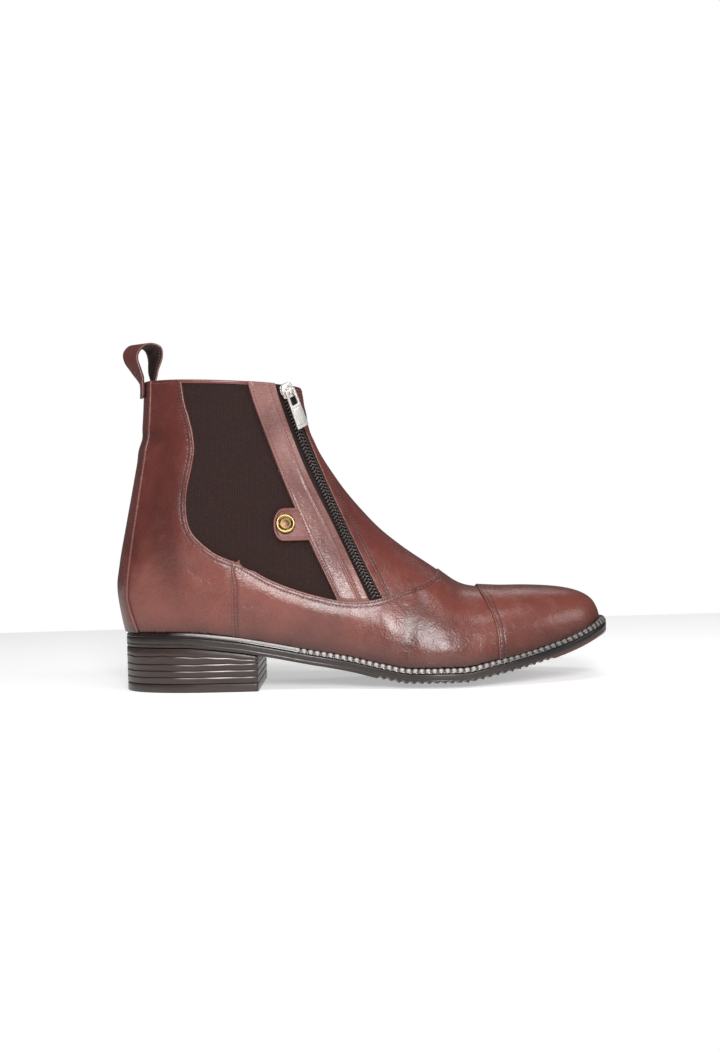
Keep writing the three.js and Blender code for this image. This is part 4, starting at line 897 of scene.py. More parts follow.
def contour(sheet, raised, field, level):
    """The line on a raised sheet where a field has a level: lists of points, normals and places."""
    values = sheet.value(field) - level
    values = np.where(np.abs(values) < 1e-6, 1e-6, values)
    above = values > 0
    count = above[sheet.triangles].sum(axis=1)
    cut = sheet.triangles[(count == 1) | (count == 2)]
    if not len(cut):
        return []
    edges = np.stack([cut[:, [0, 1]], cut[:, [1, 2]], cut[:, [2, 0]]], axis=1)
    crossing = above[edges[:, :, 0]] != above[edges[:, :, 1]]
    pairs = np.sort(edges[crossing], axis=1)
    unique, inverse = np.unique(pairs, axis=0, return_inverse=True)
    links = inverse.reshape(-1, 2)
    first, second = values[unique[:, 0]], values[unique[:, 1]]
    t = (first / (first - second))[:, None]
    full = np.hstack([raised, sheet.normals, sheet.places])
    values = full[unique[:, 0]] * (1 - t) + full[unique[:, 1]] * t
    near = {}
    for a, b in links.tolist():
        near.setdefault(a, []).append(b)
        near.setdefault(b, []).append(a)
    lines = []
    left = set(near)
    for start in sorted(near, key=lambda k: (len(near[k]), k)):
        if start not in left:
            continue
        chain = [start]
        left.discard(start)
        while True:
            following = [k for k in near[chain[-1]] if k in left]
            if not following:
                break
            chain.append(following[0])
            left.discard(following[0])
        if len(chain) > 3:
            lines.append(values[chain])
    return lines


def stitch(sheet, raised, field, level, limit=None):
    """Adds a row of stitches along a level of a field, where the limit field is above 0."""
    for line in contour(sheet, raised, field, level):
        wanted = np.ones(len(line), bool)
        if limit is not None:
            wanted = from_table(limit[..., None], line[:, 6:])[:, 0] > 0
        ends = np.flatnonzero(np.diff(wanted.astype(int))) + 1
        for part in np.split(np.arange(len(line)), ends):
            if len(part) > 3 and wanted[part[0]]:
                stitch_lines.append(line[part, :6])


def stitch_mesh(name, lines, material):
    points, faces = [], []
    angle = np.arange(STITCH_SIDES) / STITCH_SIDES * 2 * math.pi
    rings = len(STITCH_RINGS)
    own = []
    for i in range(rings - 1):
        for j in range(STITCH_SIDES):
            a, b = i * STITCH_SIDES + j, i * STITCH_SIDES + (j + 1) % STITCH_SIDES
            own += [(a, b + STITCH_SIDES, b), (a, a + STITCH_SIDES, b + STITCH_SIDES)]
    for j in range(1, STITCH_SIDES - 1):
        last = (rings - 1) * STITCH_SIDES
        own += [(0, j, j + 1), (last, last + j + 1, last + j)]
    own = np.array(own)
    for line in lines:
        parts = resampled(line, STITCH_PITCH)
        for a, b in zip(parts[:-1], parts[1:]):
            centre, normal, along = (a[:3] + b[:3]) / 2, a[3:] + b[3:], b[:3] - a[:3]
            size = np.linalg.norm(along)
            if not 0.5 * STITCH_PITCH < size < 1.5 * STITCH_PITCH:
                continue
            along = along / size
            normal = normal - along * (normal @ along)
            normal = normal / np.linalg.norm(normal)
            across = np.cross(normal, along)
            circle = np.outer(np.cos(angle), across) + np.outer(np.sin(angle), normal)
            faces.append(own + len(points) * STITCH_SIDES)
            for share, radius, lift in STITCH_RINGS:
                middle = centre + along * share * STITCH_LENGTH + normal * lift * STITCH_RADIUS
                points.append(middle + circle * radius * STITCH_RADIUS)
    return mesh_object(name, np.concatenate(points), np.concatenate(faces), material)


# Leather panels

EDGE_LEVELS = (0.17, 0.5, 1.1)
ROW_LEVELS = (-0.5, 0.0, 0.5)
ROW_DEPTH = 0.17


def leather_marks(sheet, edge, rows, folds, dark):
    """What colours the leather: pale edges and ridges (rubbed wear and painted highlight), painted shade in the
    stitch rows, the troughs and along the welt, and the warmer lower part.
    """
    height = sheet.value(ABOVE_BED)
    # Painted shade in the grooves of the stitch rows
    rows_dark = sum(bell(edge - row, 0.42) for row in rows) if rows else 0
    # Painted shade in the troughs of the folds
    trough = np.clip(-folds / 1.3, 0, 0.5)
    # Darker low along the welt: partly burnish, partly painted shade; the band that widens towards the toe is
    # painted shade
    at_welt = 0.8 * np.exp(-np.clip(height, 0, 99) / 5)
    toward_toe = np.clip(sheet.points[:, 0] / LAST_LENGTH - 0.45, 0, 0.3) / 0.3
    at_welt = at_welt + (0.12 + 0.22 * toward_toe) * np.clip(1.2 - height / 26, 0, 1)
    return {
        "shade": np.clip(0.85 * rows_dark + trough + at_welt + dark, 0, 1),
        # Pale rounded edges are partly rubbed wear, partly a painted highlight; pale fold ridges are a painted
        # highlight
        "rub": np.clip(bell(edge - 0.3, 0.4) + 0.25 * np.clip(folds, 0, 1), 0, 1),
        "warm": np.clip(1.15 - height / 62, 0, 1),
    }


def panel(name, cuts, edge, top, bottom, material, rows=(), radius=0.7, nodes=(), extra=None,
          limit=None, pitch=1.15, dark=0.0):
    """A closed leather piece between two heights, with a rounded edge and stitch rows beside it."""
    region = np.minimum.reduce(cuts)
    sheet = Sheet(region, pitch)
    for cut in cuts:
        sheet.keep(cut)
    rounding = np.minimum(edge, COLLAR_DROP - 0.05)
    for level in EDGE_LEVELS:
        sheet.split(rounding, level * radius)
    for row in rows:
        for step in ROW_LEVELS:
            sheet.split(edge, row + step)
    sheet.weld()
    distance = sheet.value(edge)
    folds = sheet.value(RELIEF)
    heights = rounded(sheet.value(rounding), top, radius)
    for row in rows:
        heights = heights - ROW_DEPTH * bell(distance - row, 0.42)
    if extra is not None:
        heights = extra(sheet, heights)
    under = -rounded(sheet.value(COLLAR_DROP), -bottom, 0.6)
    points, triangles = closed_sheet(sheet, heights + folds, under + folds)
    marks = leather_marks(sheet, distance, rows, folds, dark)
    marks = {key: np.concatenate([values, values]) for key, values in marks.items()}
    piece = mesh_object(name, points, triangles, material, marks=marks)
    if nodes:
        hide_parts(*nodes)
    raised = sheet.points + sheet.normals * (heights + folds)[:, None]
    for row in rows:
        stitch(sheet, raised, edge, row, limit)
    return sheet, raised


FREE_OF_VAMP = np.minimum(-VAMP - 0.6, COLLAR_DROP - 1.0)
QUARTER_CUTS = [QUARTER, ABOVE_BED - GAP, COLLAR_DROP]


def make_quarters():
    sheet, raised = panel(
        "quarters", QUARTER_CUTS, QUARTER_SEWN, 0.0, -WALL, upper_leather,
        rows=(1.3, 3.3), nodes=("upper",), limit=FREE_OF_VAMP)
    stitch(sheet, raised, COLLAR_DROP, 2.0, np.minimum(QUARTER - 5, -BACKSTAY - 0.5))


PANEL_OVER_ZIP = 1.7


def make_front_panel():
    edge = PANEL + PANEL_OVER_ZIP
    cuts = [edge, 5.0 - VAMP, ABOVE_BED - GAP, COLLAR_DROP]
    sheet, raised = panel(
        "front_panel", cuts, edge, 0.0, -WALL, upper_leather,
        rows=(4.0, 5.4), limit=FREE_OF_VAMP, extra=lambda sheet, heights: heights - 0.25 * np.clip(
            (4.6 - sheet.value(edge)) / 1.2, 0, 1))
    stitch(sheet, raised, COLLAR_DROP, 2.0, PANEL - 6.5)


def make_vamp():
    panel("vamp", [VAMP, ABOVE_BED - GAP, 0.5 - WINDOW], VAMP, VAMP_STEP, -WALL - 0.1,
          upper_leather, rows=(1.3, 3.2), radius=0.8, limit=ABOVE_BED - 2.5)


def make_toe_cap():
    panel("toe_cap_leather", [CAP, ABOVE_BED - GAP], CAP, VAMP_STEP + GAP + CAP_THICKNESS, VAMP_STEP - 0.1,
          upper_leather, rows=(1.2, 3.6), radius=0.8, nodes=("toe_cap",),
          limit=ABOVE_BED - 2.5)


def make_backstay():
    cuts = [BACKSTAY, ABOVE_BED - GAP, COLLAR_DROP]
    panel("backstay_strip", cuts, BACKSTAY, GAP + BACKSTAY_THICKNESS, -0.4,
          upper_leather, rows=(1.3,), radius=0.6, nodes=("backstay",),
          limit=np.minimum(ABOVE_BED - 2.5, COLLAR_DROP - 1), dark=0.12)


FACING_OVER_ZIP = 1.7
FACING_EDGE = FACING_RIGHT + FACING_OVER_ZIP
FACING = np.minimum(FACING_LEFT, FACING_EDGE)
FACING_TOP = GAP + FACING_THICKNESS


def make_facing():
    def shaped(sheet, heights):
        left, right = sheet.value(FACING_LEFT), sheet.value(FACING_EDGE)
        ridge = 0.35 * bell(left - 0.5, 0.5) + 0.45 * bell(right - 4.9, 0.6) - 0.2 * bell(right - 5.9, 0.5)
        ridge = ridge - 0.15 * bell(left - 1.5, 0.4) + 0.15 * bell(left - 2.4, 0.5)
        tucked = np.clip(0.35 + 0.55 * (-sheet.value(VAMP) + 1.0), 0.2, 9)
        return np.minimum(heights + ridge, tucked)

    cuts = [FACING_LEFT, FACING_EDGE, 4.0 - VAMP, COLLAR_DROP]
    sheet, raised = panel(
        "zip_facing_strip", cuts, FACING, FACING_TOP, -WALL, facing_leather_painted_highlight,
        radius=0.6, nodes=("zip_facing",), extra=shaped, pitch=0.5)
    for row_field, level in ((FACING_LEFT, 1.5), (FACING_EDGE, 3.6)):
        stitch(sheet, raised, row_field, level, FREE_OF_VAMP)


def make_binding():
    """The turned edge round the collar, which stops at the zip."""
    band = np.minimum(BINDING - COLLAR_DROP, COLLAR_DROP)
    panel("collar_binding", [COLLAR_DROP, BINDING - COLLAR_DROP, WINDOW + 2.0],
          band, 0.1, -WALL + 0.1, upper_leather, radius=0.8, pitch=0.5)


def make_gusset(name, node, side):
    region = np.where(OUTER_SIDE == (side == OUTER), WINDOW, -9.0)
    sheet = Sheet(region, 0.5)
    for cut in (region + 0.9, COLLAR_DROP - 0.6, ABOVE_BED - 8):
        sheet.keep(cut)
    sheet.weld()
    ribs = 0.07 * np.cos(2 * math.pi * sheet.points[:, 0] / RIB_PITCH)
    swell = 0.35 * np.clip(sheet.value(region) / 12, 0, 1)
    heights = -0.95 + swell + ribs
    points, triangles = closed_sheet(sheet, heights, np.full(len(heights), -0.95 - GUSSET_THICKNESS))
    piece = mesh_object(name, points, triangles, elastic_cloth)
    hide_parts(node)


def make_lining():
    sheet = Sheet(None, 2.0)
    for cut in (ABOVE_BED - 0.5, COLLAR_DROP - 1.2):
        sheet.keep(cut)
    sheet.weld()
    size = len(sheet.points)
    points, triangles = closed_sheet(sheet, np.full(size, -WALL - 0.15), np.full(size, -WALL - 0.75))
    mesh_object("lining", points, triangles, lining)


# Snap tab and button

def make_tab():
    x, z = along_side(TAB_CENTRE)
    half = TAB_HEIGHT / 2
    angle = np.linspace(math.pi / 2, 1.5 * math.pi, 24)
    nose = np.stack([x - TAB_SHOULDER + TAB_NOSE * np.cos(angle), z + half * np.sin(angle)], axis=1)
    flat = np.linspace(0, TAB_LENGTH, 8)[1:, None]
    path = np.vstack([
        (np.array([[x, z + half]]) + flat[::-1] * (1, 0)), nose, np.array([[x, z - half]]) + flat * (1, 0),
    ])
    line = np.array([place[0] for place in (on_side(*p) for p in path) if place])
    inside = in_outline(GRID_SIDE, path) & GRID_OUTER
    edge = field([line], inside)
    region = np.minimum(edge, 1.2 - FACING_LEFT)
    region = np.where(OUTER_SIDE, region, -9.0)
    sheet = Sheet(region, 0.3)
    sheet.keep(edge)
    sheet.keep(1.2 - FACING_LEFT)
    for level in EDGE_LEVELS:
        sheet.split(edge, level * 0.8)
    sheet.weld()
    distance = sheet.value(edge)
    tip = np.clip((x + 4 - sheet.points[:, 0]) / 10, 0, 1)
    lift = 0.5 * tip ** 1.5
    under = np.full(len(tip), GAP) + lift
    heights = rounded(distance, GAP + TAB_THICKNESS, 0.8) + lift - 0.12 * bell(distance - 1.9, 0.4)
    points, triangles = closed_sheet(sheet, heights, under)
    # Painted shade along the stitch groove, and pale edges that are partly rubbed wear, partly a painted
    # highlight
    marks = {
        "shade": np.clip(0.45 * bell(distance - 1.9, 0.45), 0, 1), "rub": bell(distance - 0.3, 0.5),
        "warm": np.zeros(len(tip)),
    }
    marks = {key: np.concatenate([values, values]) for key, values in marks.items()}
    piece = mesh_object("snap_tab_leather", points, triangles, tab_leather, marks=marks)
    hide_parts("snap_tab")


def lathe(profile, steps):
    """Points and quads of a profile of radius and height pairs that starts and ends on the axis."""
    angle = np.arange(steps) / steps * 2 * math.pi
    rows = profile[1:-1]
    points = np.concatenate([
        [(0, 0, profile[0][1])],
        *[np.stack([r * np.cos(angle), r * np.sin(angle), np.full(steps, h)], axis=1) for r, h in rows],
        [(0, 0, profile[-1][1])],
    ])
    j = np.arange(steps)
    k = (j + 1) % steps
    quads = [
        np.stack([1 + i * steps + j, 1 + i * steps + k, 1 + (i + 1) * steps + k, 1 + (i + 1) * steps + j], 1)
        for i in range(len(rows) - 1)
    ]
    last = 1 + (len(rows) - 1) * steps
    fans = [np.stack([np.zeros(steps, int), 1 + k, 1 + j], 1),
            np.stack([np.full(steps, len(points) - 1), last + j, last + k], 1)]
    return points, [np.concatenate(quads), np.concatenate(fans)]


def placed(points, matrix):
    return points @ matrix[:3, :3].T + matrix[:3, 3]


def axes(right, up, out, origin):
    matrix = np.eye(4)
    matrix[:3, 0], matrix[:3, 1], matrix[:3, 2], matrix[:3, 3] = right, up, out, origin
    return matrix


def unit(vector):
    return vector / np.linalg.norm(vector)


def make_button():
    point, normal = on_side(*along_side(TAB_CENTRE))
    right = unit(np.cross((0, 0, 1), normal))
    seat_axes = axes(right, unit(np.cross(normal, right)), normal, point + normal * (TAB_THICKNESS + 2 * GAP))
    profile = [(r * BUTTON_RADIUS, h * BUTTON_HEIGHT) for r, h in BUTTON_PROFILE]
    points, faces = lathe(profile, 64)
    radius = np.hypot(points[:, 0], points[:, 1])
    marks = {"recess": np.clip((0.66 * BUTTON_RADIUS - radius) / 0.4, 0, 1)}
    piece = mesh_object("snap_button_brass", placed(points, seat_axes), faces, brass, marks=marks)
    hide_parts("snap_button")


# Sweeps

def sweep(line, section_of, closed=False):
    """Points and faces of sections along a line. section_of(i) gives a closed ring of points for a step."""
    rings = np.array([section_of(i) for i in range(len(line))])
    steps, size = rings.shape[:2]
    j = np.arange(size)
    k = (j + 1) % size
    quads = []
    for i in range(steps if closed else steps - 1):
        a, b = i * size, ((i + 1) % steps) * size
        quads.append(np.stack([a + j, a + k, b + k, b + j], 1))
    faces = [np.concatenate(quads)]
    if not closed:
        start, end = np.arange(1, size - 1), (steps - 1) * size
        faces.append(np.concatenate([
            np.stack([np.zeros(size - 2, int), start + 1, start], 1),
            np.stack([np.full(size - 2, end), end + start, end + start + 1], 1),
        ]))
    return rings.reshape(-1, 3), faces


def rounded_box(width, height, radius, corner=5):
    """A ring of points round a rectangle with round corners, about its middle."""
    ring = []
    for turn, (sx, sy) in enumerate(((1, 1), (-1, 1), (-1, -1), (1, -1))):
        for step in range(corner + 1):
            angle = (turn + step / corner) * math.pi / 2
            ring.append((
                sx * (width / 2 - radius) + radius * math.cos(angle),
                sy * (height / 2 - radius) + radius * math.sin(angle),
            ))
    return np.array(ring)


LOOP_TWIST = math.radians(42)
LOOP_LEAN = 2.0
LOOP_DROP = 0.92


def make_loop():
    outside = -BACKSTAY_THICKNESS - LOOP_OUTER_GAP - LOOP_THICKNESS / 2
    inside = WALL + LOOP_INNER_GAP + LOOP_THICKNESS / 2
    eye = [(inside - across * LOOP_OPEN, up * LOOP_RISE) for across, up in LOOP_EYE]
    centre = [(outside, -LOOP_OUTER_END), (outside, 0), *eye, (inside, 0), (inside, -LOOP_INNER_END)]
    line = resampled(catmull_rom(centre, 12), 0.8)
    along = np.gradient(line, axis=0)
    along /= np.linalg.norm(along, axis=1, keepdims=True)
    side = np.stack([-along[:, 1], along[:, 0]], axis=1)
    seat_place = np.array([[ROWS, AROUND / 32]])
    seat, normal = from_table(TABLE, seat_place)[0], from_table(NORMAL, seat_place)[0]
    inward = unit(np.array([-normal[0], -normal[1], 0]))
    level = np.cross((0, 0, 1), inward)

    def axes_at(i):
        """The strap's middle, its width's direction and its outward direction, with its twist."""
        x, z = line[i]
        turn = LOOP_TWIST * np.clip(z / LOOP_RISE, 0, 1) ** 0.8
        own_level = level * math.cos(turn) - inward * math.sin(turn)
        own_inward = inward * math.cos(turn) + level * math.sin(turn)
        rise = max(0, z)
        height = min(0, z) + LOOP_DROP * rise
        middle = seat + inward * (x + LOOP_LEAN * rise / LOOP_RISE) + np.array([0, 0, height])
        return middle, own_level, own_inward * side[i, 0] + np.array([0, 0, side[i, 1]])

    def strap(name, thickness, offset, material, width):
        ring = rounded_box(width, thickness, min(0.45, thickness * 0.45))

        def section_of(i):
            middle, own_level, out = axes_at(i)
            return middle + np.outer(ring[:, 0], own_level) + np.outer(ring[:, 1] + offset, out)

        points, faces = sweep(line, section_of)
        edge = width / 2 - np.abs(np.tile(ring[:, 0], len(line)))
        # The shade mark darkens the whole strap and paints shade along its stitch lines; the pale edges are
        # partly rubbed wear, partly a painted highlight.
        marks = {"rub": bell(edge, 0.5), "shade": np.full(len(points), 0.4) + 0.5 * bell(edge - 1.6, 0.4),
                 "warm": np.zeros(len(points))}
        return mesh_object(name, points, faces, material, marks=marks)

    face = strap("pull_loop_leather", 1.0, 0.3, upper_leather, LOOP_WIDTH)
    strap("pull_loop_lining", 0.6, -0.5, lining, LOOP_WIDTH - 0.5)
    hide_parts("pull_loop")
    for edge in (-LOOP_WIDTH / 2 + 1.6, LOOP_WIDTH / 2 - 1.6):
        places = [axes_at(i) for i in range(len(line))]
        stitch_lines.append(np.array([
            np.concatenate([middle + own_level * edge - out * 0.8, -out]) for middle, own_level, out in places
        ]))


# Sole outlines

def feather_point(u, side):
    """Where the section at u crosses the bed on one side."""
    ring = section(u, AROUND)
    half = ring[:AROUND // 2 + 1] if side == OUTER else ring[::-1][:AROUND // 2 + 1]
    height = half[:, 2] - bed(half[:, 0])
    crossing = np.flatnonzero((height[:-1] <= 0) & (height[1:] > 0))
    if not len(crossing):
        return None
    i = crossing[0]
    t = height[i] / (height[i] - height[i + 1])
    return half[i] * (1 - t) + half[i + 1] * t


def feather_end(inside, outside):
    for _ in range(30):
        middle = (inside + outside) / 2
        if feather_point(middle, OUTER) is not None:
            inside = middle
        else:
            outside = middle
    return inside


def feather_loop(stations):
    """The feather line as a closed plan outline: outer side to the toe, then the inner side back."""
    middle = len(FRAMES) / 2
    back, front = feather_end(middle, LAST_ROW), feather_end(middle, 0)
    turns = back + (front - back) * (1 - np.cos(math.pi * np.arange(151) / 150)) / 2
    sides = {side: np.array([feather_point(u, side)[:2] for u in turns]) for side in (OUTER, INNER)}
    for end in (0, -1):
        shared = (sides[OUTER][end, 1] + sides[INNER][end, 1]) / 2
        sides[OUTER][end, 1] = sides[INNER][end, 1] = shared
    outer, inner = (by_count(sides[side], stations) for side in (OUTER, INNER))
    return np.vstack([outer, inner[1:-1][::-1]])


def by_count(line, count):
    lengths = np.concatenate([[0], np.cumsum(np.linalg.norm(np.diff(line, axis=0), axis=1))])
    targets = np.linspace(0, lengths[-1], count + 1)
    return np.stack([np.interp(targets, lengths, line[:, k]) for k in range(line.shape[1])], axis=1)


def grow(outline, distance):
    """A closed plan outline moved outwards, by a number or one for each point."""
    along = unit_rows(np.roll(outline, -1, axis=0) - np.roll(outline, 1, axis=0))
    x, y = outline[:, 0], outline[:, 1]
    area = np.sum(x * np.roll(y, -1) - np.roll(x, -1) * y)
    out = np.stack([along[:, 1], -along[:, 0]], axis=1) * (1 if area > 0 else -1)
    return outline + out * np.broadcast_to(distance, len(outline))[:, None]


def unit_rows(rows):
    return rows / np.maximum(np.linalg.norm(rows, axis=1, keepdims=True), 1e-12)


def evened(outline, pitch, rounds=2):
    """The outline in equal steps, a little smoothed."""
    closed = np.vstack([outline, outline[:1]])
    even = resampled(closed, pitch)[:-1]
    for _ in range(rounds):
        even = 0.5 * even + 0.25 * (np.roll(even, 1, axis=0) + np.roll(even, -1, axis=0))
    return even


SOLE_STATIONS = 330
FEATHER = feather_loop(SOLE_STATIONS)
SOLE = grow(FEATHER, margin(FEATHER[:, 0]))
SOLE_ACROSS = np.linspace(-1, 1, 29)


def outsole_bottom(x, share):
    edge = bed(x) - WELT_THICKNESS - GAP - OUTSOLE_EDGE
    full = smooth_through(CROWN, 1, x / LAST_LENGTH)
    inward = 1 - np.maximum(0, np.abs(share) - 0.42) / 0.58
    return np.maximum(0, edge - SOLE_CROWN * full * inward)


def band_mesh(name, loops, material, marks=None):
    """A closed band of loops with as many points each, the last joined to the first."""
    count, size = len(loops), len(loops[0])
    points = np.concatenate(loops)
    j = np.arange(size)
    k = (j + 1) % size
    quads = [np.stack([i * size + j, i * size + k, (i + 1) % count * size + k, (i + 1) % count * size + j], 1)
             for i in range(count)]
    return mesh_object(name, points, np.concatenate(quads), material, marks=marks)


def lifted(outline, heights):
    return np.column_stack([outline, heights])


# The welt's section from its edge inwards: inset, depth under the bed and share of the bead's height
WELT_PROFILE = [
    (0.25, 2.6, 0.0), (0.05, 2.5, 0.2), (0.0, 2.3, 0.55), (0.12, 1.95, 0.85), (0.45, 1.4, 1.0),
    (0.8, 0.85, 1.0),
    (1.2, 0.3, 1.0), (1.8, 0.05, 0.85), (2.6, 0.0, 0.5), (3.4, 0.1, 0.1),
]
BEAD_RISE = 0.75


def make_welt():
    rim = evened(SOLE, BEAD_PITCH / 8, 3)
    x = rim[:, 0]
    along = np.concatenate([[0], np.cumsum(np.linalg.norm(np.diff(rim, axis=0), axis=1))])
    beaded = np.clip((x - BEAD_START * LAST_LENGTH) / 3, 0, 1)
    bead = np.abs(np.cos(math.pi * along / BEAD_PITCH)) ** 0.6
    loops, painted_highlight = [], []
    for inset, depth, share in WELT_PROFILE:
        sunk = BEAD_RISE * share * (1 - bead) * beaded * 0.7
        width = np.minimum(inset, margin(x) + 0.8)
        loops.append(lifted(grow(rim, -width - sunk), bed(x) - depth - np.minimum(sunk, 2.6 - depth)))
        # Painted highlight: a pale band on the plain bevel from the heel's side to the waist, and pale bead
        # tops that fade towards the toe, where they turn from the light.
        bevel_highlight = (1 - beaded) * 0.75 * max(0.0, share - 0.9) * 10 * np.clip((x - 28) / 30, 0, 1)
        fade = 1 - 0.6 * np.clip((x - 0.72 * LAST_LENGTH) / 25, 0, 1)
        painted_highlight.append(bevel_highlight + max(0.0, share - 0.5) * 2 * beaded * np.clip(bead * 1.8 - 0.8, 0, 1) * fade)
    inside = grow(rim, -margin(x) - WELT_INSIDE)
    loops += [lifted(inside, bed(x)), lifted(inside, bed(x) - WELT_THICKNESS)]
    painted_highlight += [np.zeros(len(x))] * 2
    piece = band_mesh("welt_strip", loops, welt_polish, {"painted_highlight": np.concatenate(painted_highlight)})
    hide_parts("welt")


# The outsole's wall from its top down: inset and drop
SOLE_WALL = [
    (0.5, 0.0), (0.12, 0.25), (0.0, 0.9), (0.0, 2.6), (0.05, 3.2), (0.16, 3.4), (0.05, 3.6), (0.0, 4.6),
    (0.2, 5.3),
]


def tread(x, y):
    """How deep the forefoot is cut between its ridges."""
    phase = (x - TREAD_START * LAST_LENGTH) / TREAD_PITCH
    shape = np.abs(np.cos(math.pi * phase)) ** 1.3
    inside = np.clip((x - TREAD_START * LAST_LENGTH + 2) / 2, 0, 1) * np.clip(
        (TREAD_END * LAST_LENGTH + 2 - x) / 2, 0, 1)
    patch = np.hypot((x - REST_PATCH["at"] * LAST_LENGTH) / (REST_PATCH["length"] / 2),
                     y / (REST_PATCH["width"] / 2))
    return TREAD_DEPTH * shape * inside * np.clip((patch - 1) * 8, 0, 1)


def make_outsole():
    size = len(SOLE) // 2
    order = np.arange(size + 1)
    outer, inner = order, (len(SOLE) - order) % len(SOLE)
    walls = [grow(SOLE, -inset) for inset, _ in SOLE_WALL]
    tops = bed(SOLE[:, 0]) - WELT_THICKNESS - GAP

    def ground(place, share):
        cut = tread(place[:, 0], place[:, 1]) * (1 + 0.5 * abs(share) ** 6)
        return outsole_bottom(place[:, 0], share) + cut

    def wall(side):
        return [np.column_stack([level[side], np.maximum(tops[side] - drop, ground(level[side], 1))])
                for level, (_, drop) in zip(walls, SOLE_WALL)]

    bottoms = []
    a, b = walls[-1][outer], walls[-1][inner]
    for share in SOLE_ACROSS:
        t = (1 + share) / 2
        place = a * (1 - t) + b * t
        bottoms.append(np.column_stack([place, ground(place, share)]))
    ring = [*wall(outer), *bottoms, *wall(inner)[::-1]]
    drops = [drop for _, drop in SOLE_WALL]
    depth = np.array([*drops, *[9] * len(bottoms), *drops[::-1]])
    points = np.stack(ring, axis=1)
    steps, count = points.shape[:2]
    j, k = np.arange(count), (np.arange(count) + 1) % count
    quads = np.concatenate([
        np.stack([i * count + j, i * count + k, (i + 1) * count + k, (i + 1) * count + j], 1)
        for i in range(steps - 1)
    ])
    points = points.reshape(-1, 3)
    toe = np.clip((points[:, 0] - 0.78 * LAST_LENGTH) / 25, 0, 1)
    marks = {"lower": np.clip((np.tile(depth, steps) - 3.3) / 0.2, 0, 1) * toe, "toe": toe}
    triangles = np.concatenate([quads[:, [0, 1, 2]], quads[:, [0, 2, 3]]])
    keys, first, inverse = np.unique(
        np.round(points * 1e3).astype(np.int64), axis=0, return_index=True, return_inverse=True)
    triangles = inverse.reshape(-1)[triangles]
    p, q, r = triangles.T
    triangles = triangles[(p != q) & (q != r) & (r != p)]
    marks = {name: values[first] for name, values in marks.items()}
    piece = mesh_object("outsole_rubber", points[first], triangles, edge_polish, marks=marks)
    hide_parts("outsole")


def heel_outline():
    half = SOLE_STATIONS
    outer = SOLE[:half][SOLE[:half, 0] < HEEL_LENGTH - 1.5]
    inner = SOLE[half:][SOLE[half:, 0] < HEEL_LENGTH - 1.5]
    breast = np.linspace((HEEL_LENGTH, outer[-1, 1]), (HEEL_LENGTH, inner[0, 1]), 60)
    return evened(np.vstack([outer, breast, inner]), 0.9, 2)


# One groove between two layers, with a lip under it: rise and inset
HEEL_GROOVE = [
    (-0.85, 0.0), (-0.66, -0.08), (-0.36, -0.10), (-0.16, 0.10), (0.0, 0.38), (0.16, 0.30), (0.42, 0.05),
    (0.62, 0.0),
]


def capped(name, loops, material, marks=None):
    """Loops of as many points each, with a flat fan at both ends."""
    size = len(loops[0])
    centres = [loops[0].mean(axis=0), loops[-1].mean(axis=0)]
    points = np.vstack([*loops, *centres])
    j = np.arange(size)
    k = (j + 1) % size
    quads = np.concatenate([
        np.stack([i * size + j, i * size + k, (i + 1) * size + k, (i + 1) * size + j], 1)
        for i in range(len(loops) - 1)
    ])
    low, high, last = len(points) - 2, len(points) - 1, (len(loops) - 1) * size
    fans = np.concatenate([np.stack([np.full(size, low), k, j], 1),
                           np.stack([np.full(size, high), last + j, last + k], 1)])
    if marks:
        marks = {key: np.concatenate([values, [0, 0]]) for key, values in marks.items()}
    return mesh_object(name, points, [quads, fans], material, marks=marks)


def make_heel():
    outline = heel_outline()
    x = outline[:, 0]
    bottom, under = TOP_LIFT + GAP, outsole_bottom(x, 0) - GAP
    along = np.concatenate([[0], np.cumsum(np.linalg.norm(np.diff(outline, axis=0), axis=1))])
    wave = 0.22 * np.sin(along / 5.3) + 0.15 * np.sin(along / 2.1 + 1)
    seams = [(bottom + LAYER, 0.15), (bottom + 2 * LAYER, 0.25), (bottom + 3 * LAYER, 0.5),
             ((bottom + 3 * LAYER + under) / 2, 1.0)]
    # Painted highlight on the lips under the grooves, along the heel's side and broken into patches
    lip_highlight = np.clip((x - 30) / 16, 0, 1) * np.clip((HEEL_LENGTH - 2 - x) / 2, 0, 1)
    lip_highlight = lip_highlight * (0.65 + 0.35 * np.sin(along / 3.7))
    loops, groove = [lifted(grow(outline, -0.35), np.full(len(x), bottom))], [np.zeros(len(x))]
    loops.append(lifted(grow(outline, 0.0), np.full(len(x), bottom + 0.35)))
    groove.append(np.zeros(len(x)))
    lip = [np.zeros(len(x))] * 2
    for level, waviness in seams:
        height = level + wave * waviness
        for rise, inset in HEEL_GROOVE:
            loops.append(lifted(grow(outline, -inset), height + rise))
            # Painted shade in the groove, darker where the groove goes deeper
            groove.append(np.full(len(x), max(0, inset) / 0.38))
            lip.append(lip_highlight * (inset < 0))
    loops.append(lifted(grow(outline, 0.0), under - 0.3))
    loops.append(lifted(grow(outline, -0.3), under))
    groove += [np.zeros(len(x))] * 2
    lip += [np.zeros(len(x))] * 2
    marks = {"groove": np.concatenate(groove), "lip": np.concatenate(lip)}
    piece = capped("heel_stack_layers", loops, heel_polish, marks)
    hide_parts("heel")


def make_top_lift():
    outline = heel_outline()
    rings = [
        (0.6, 0.0), (0.15, 0.15), (0.0, 0.6), (0.0, TOP_LIFT - 0.5), (0.12, TOP_LIFT - 0.12), (0.4, TOP_LIFT),
    ]
    loops = [lifted(grow(outline, -inset), np.full(len(outline), height)) for inset, height in rings]
    piece = capped("top_lift_rubber", loops, lift_rubber)
    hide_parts("top_lift")


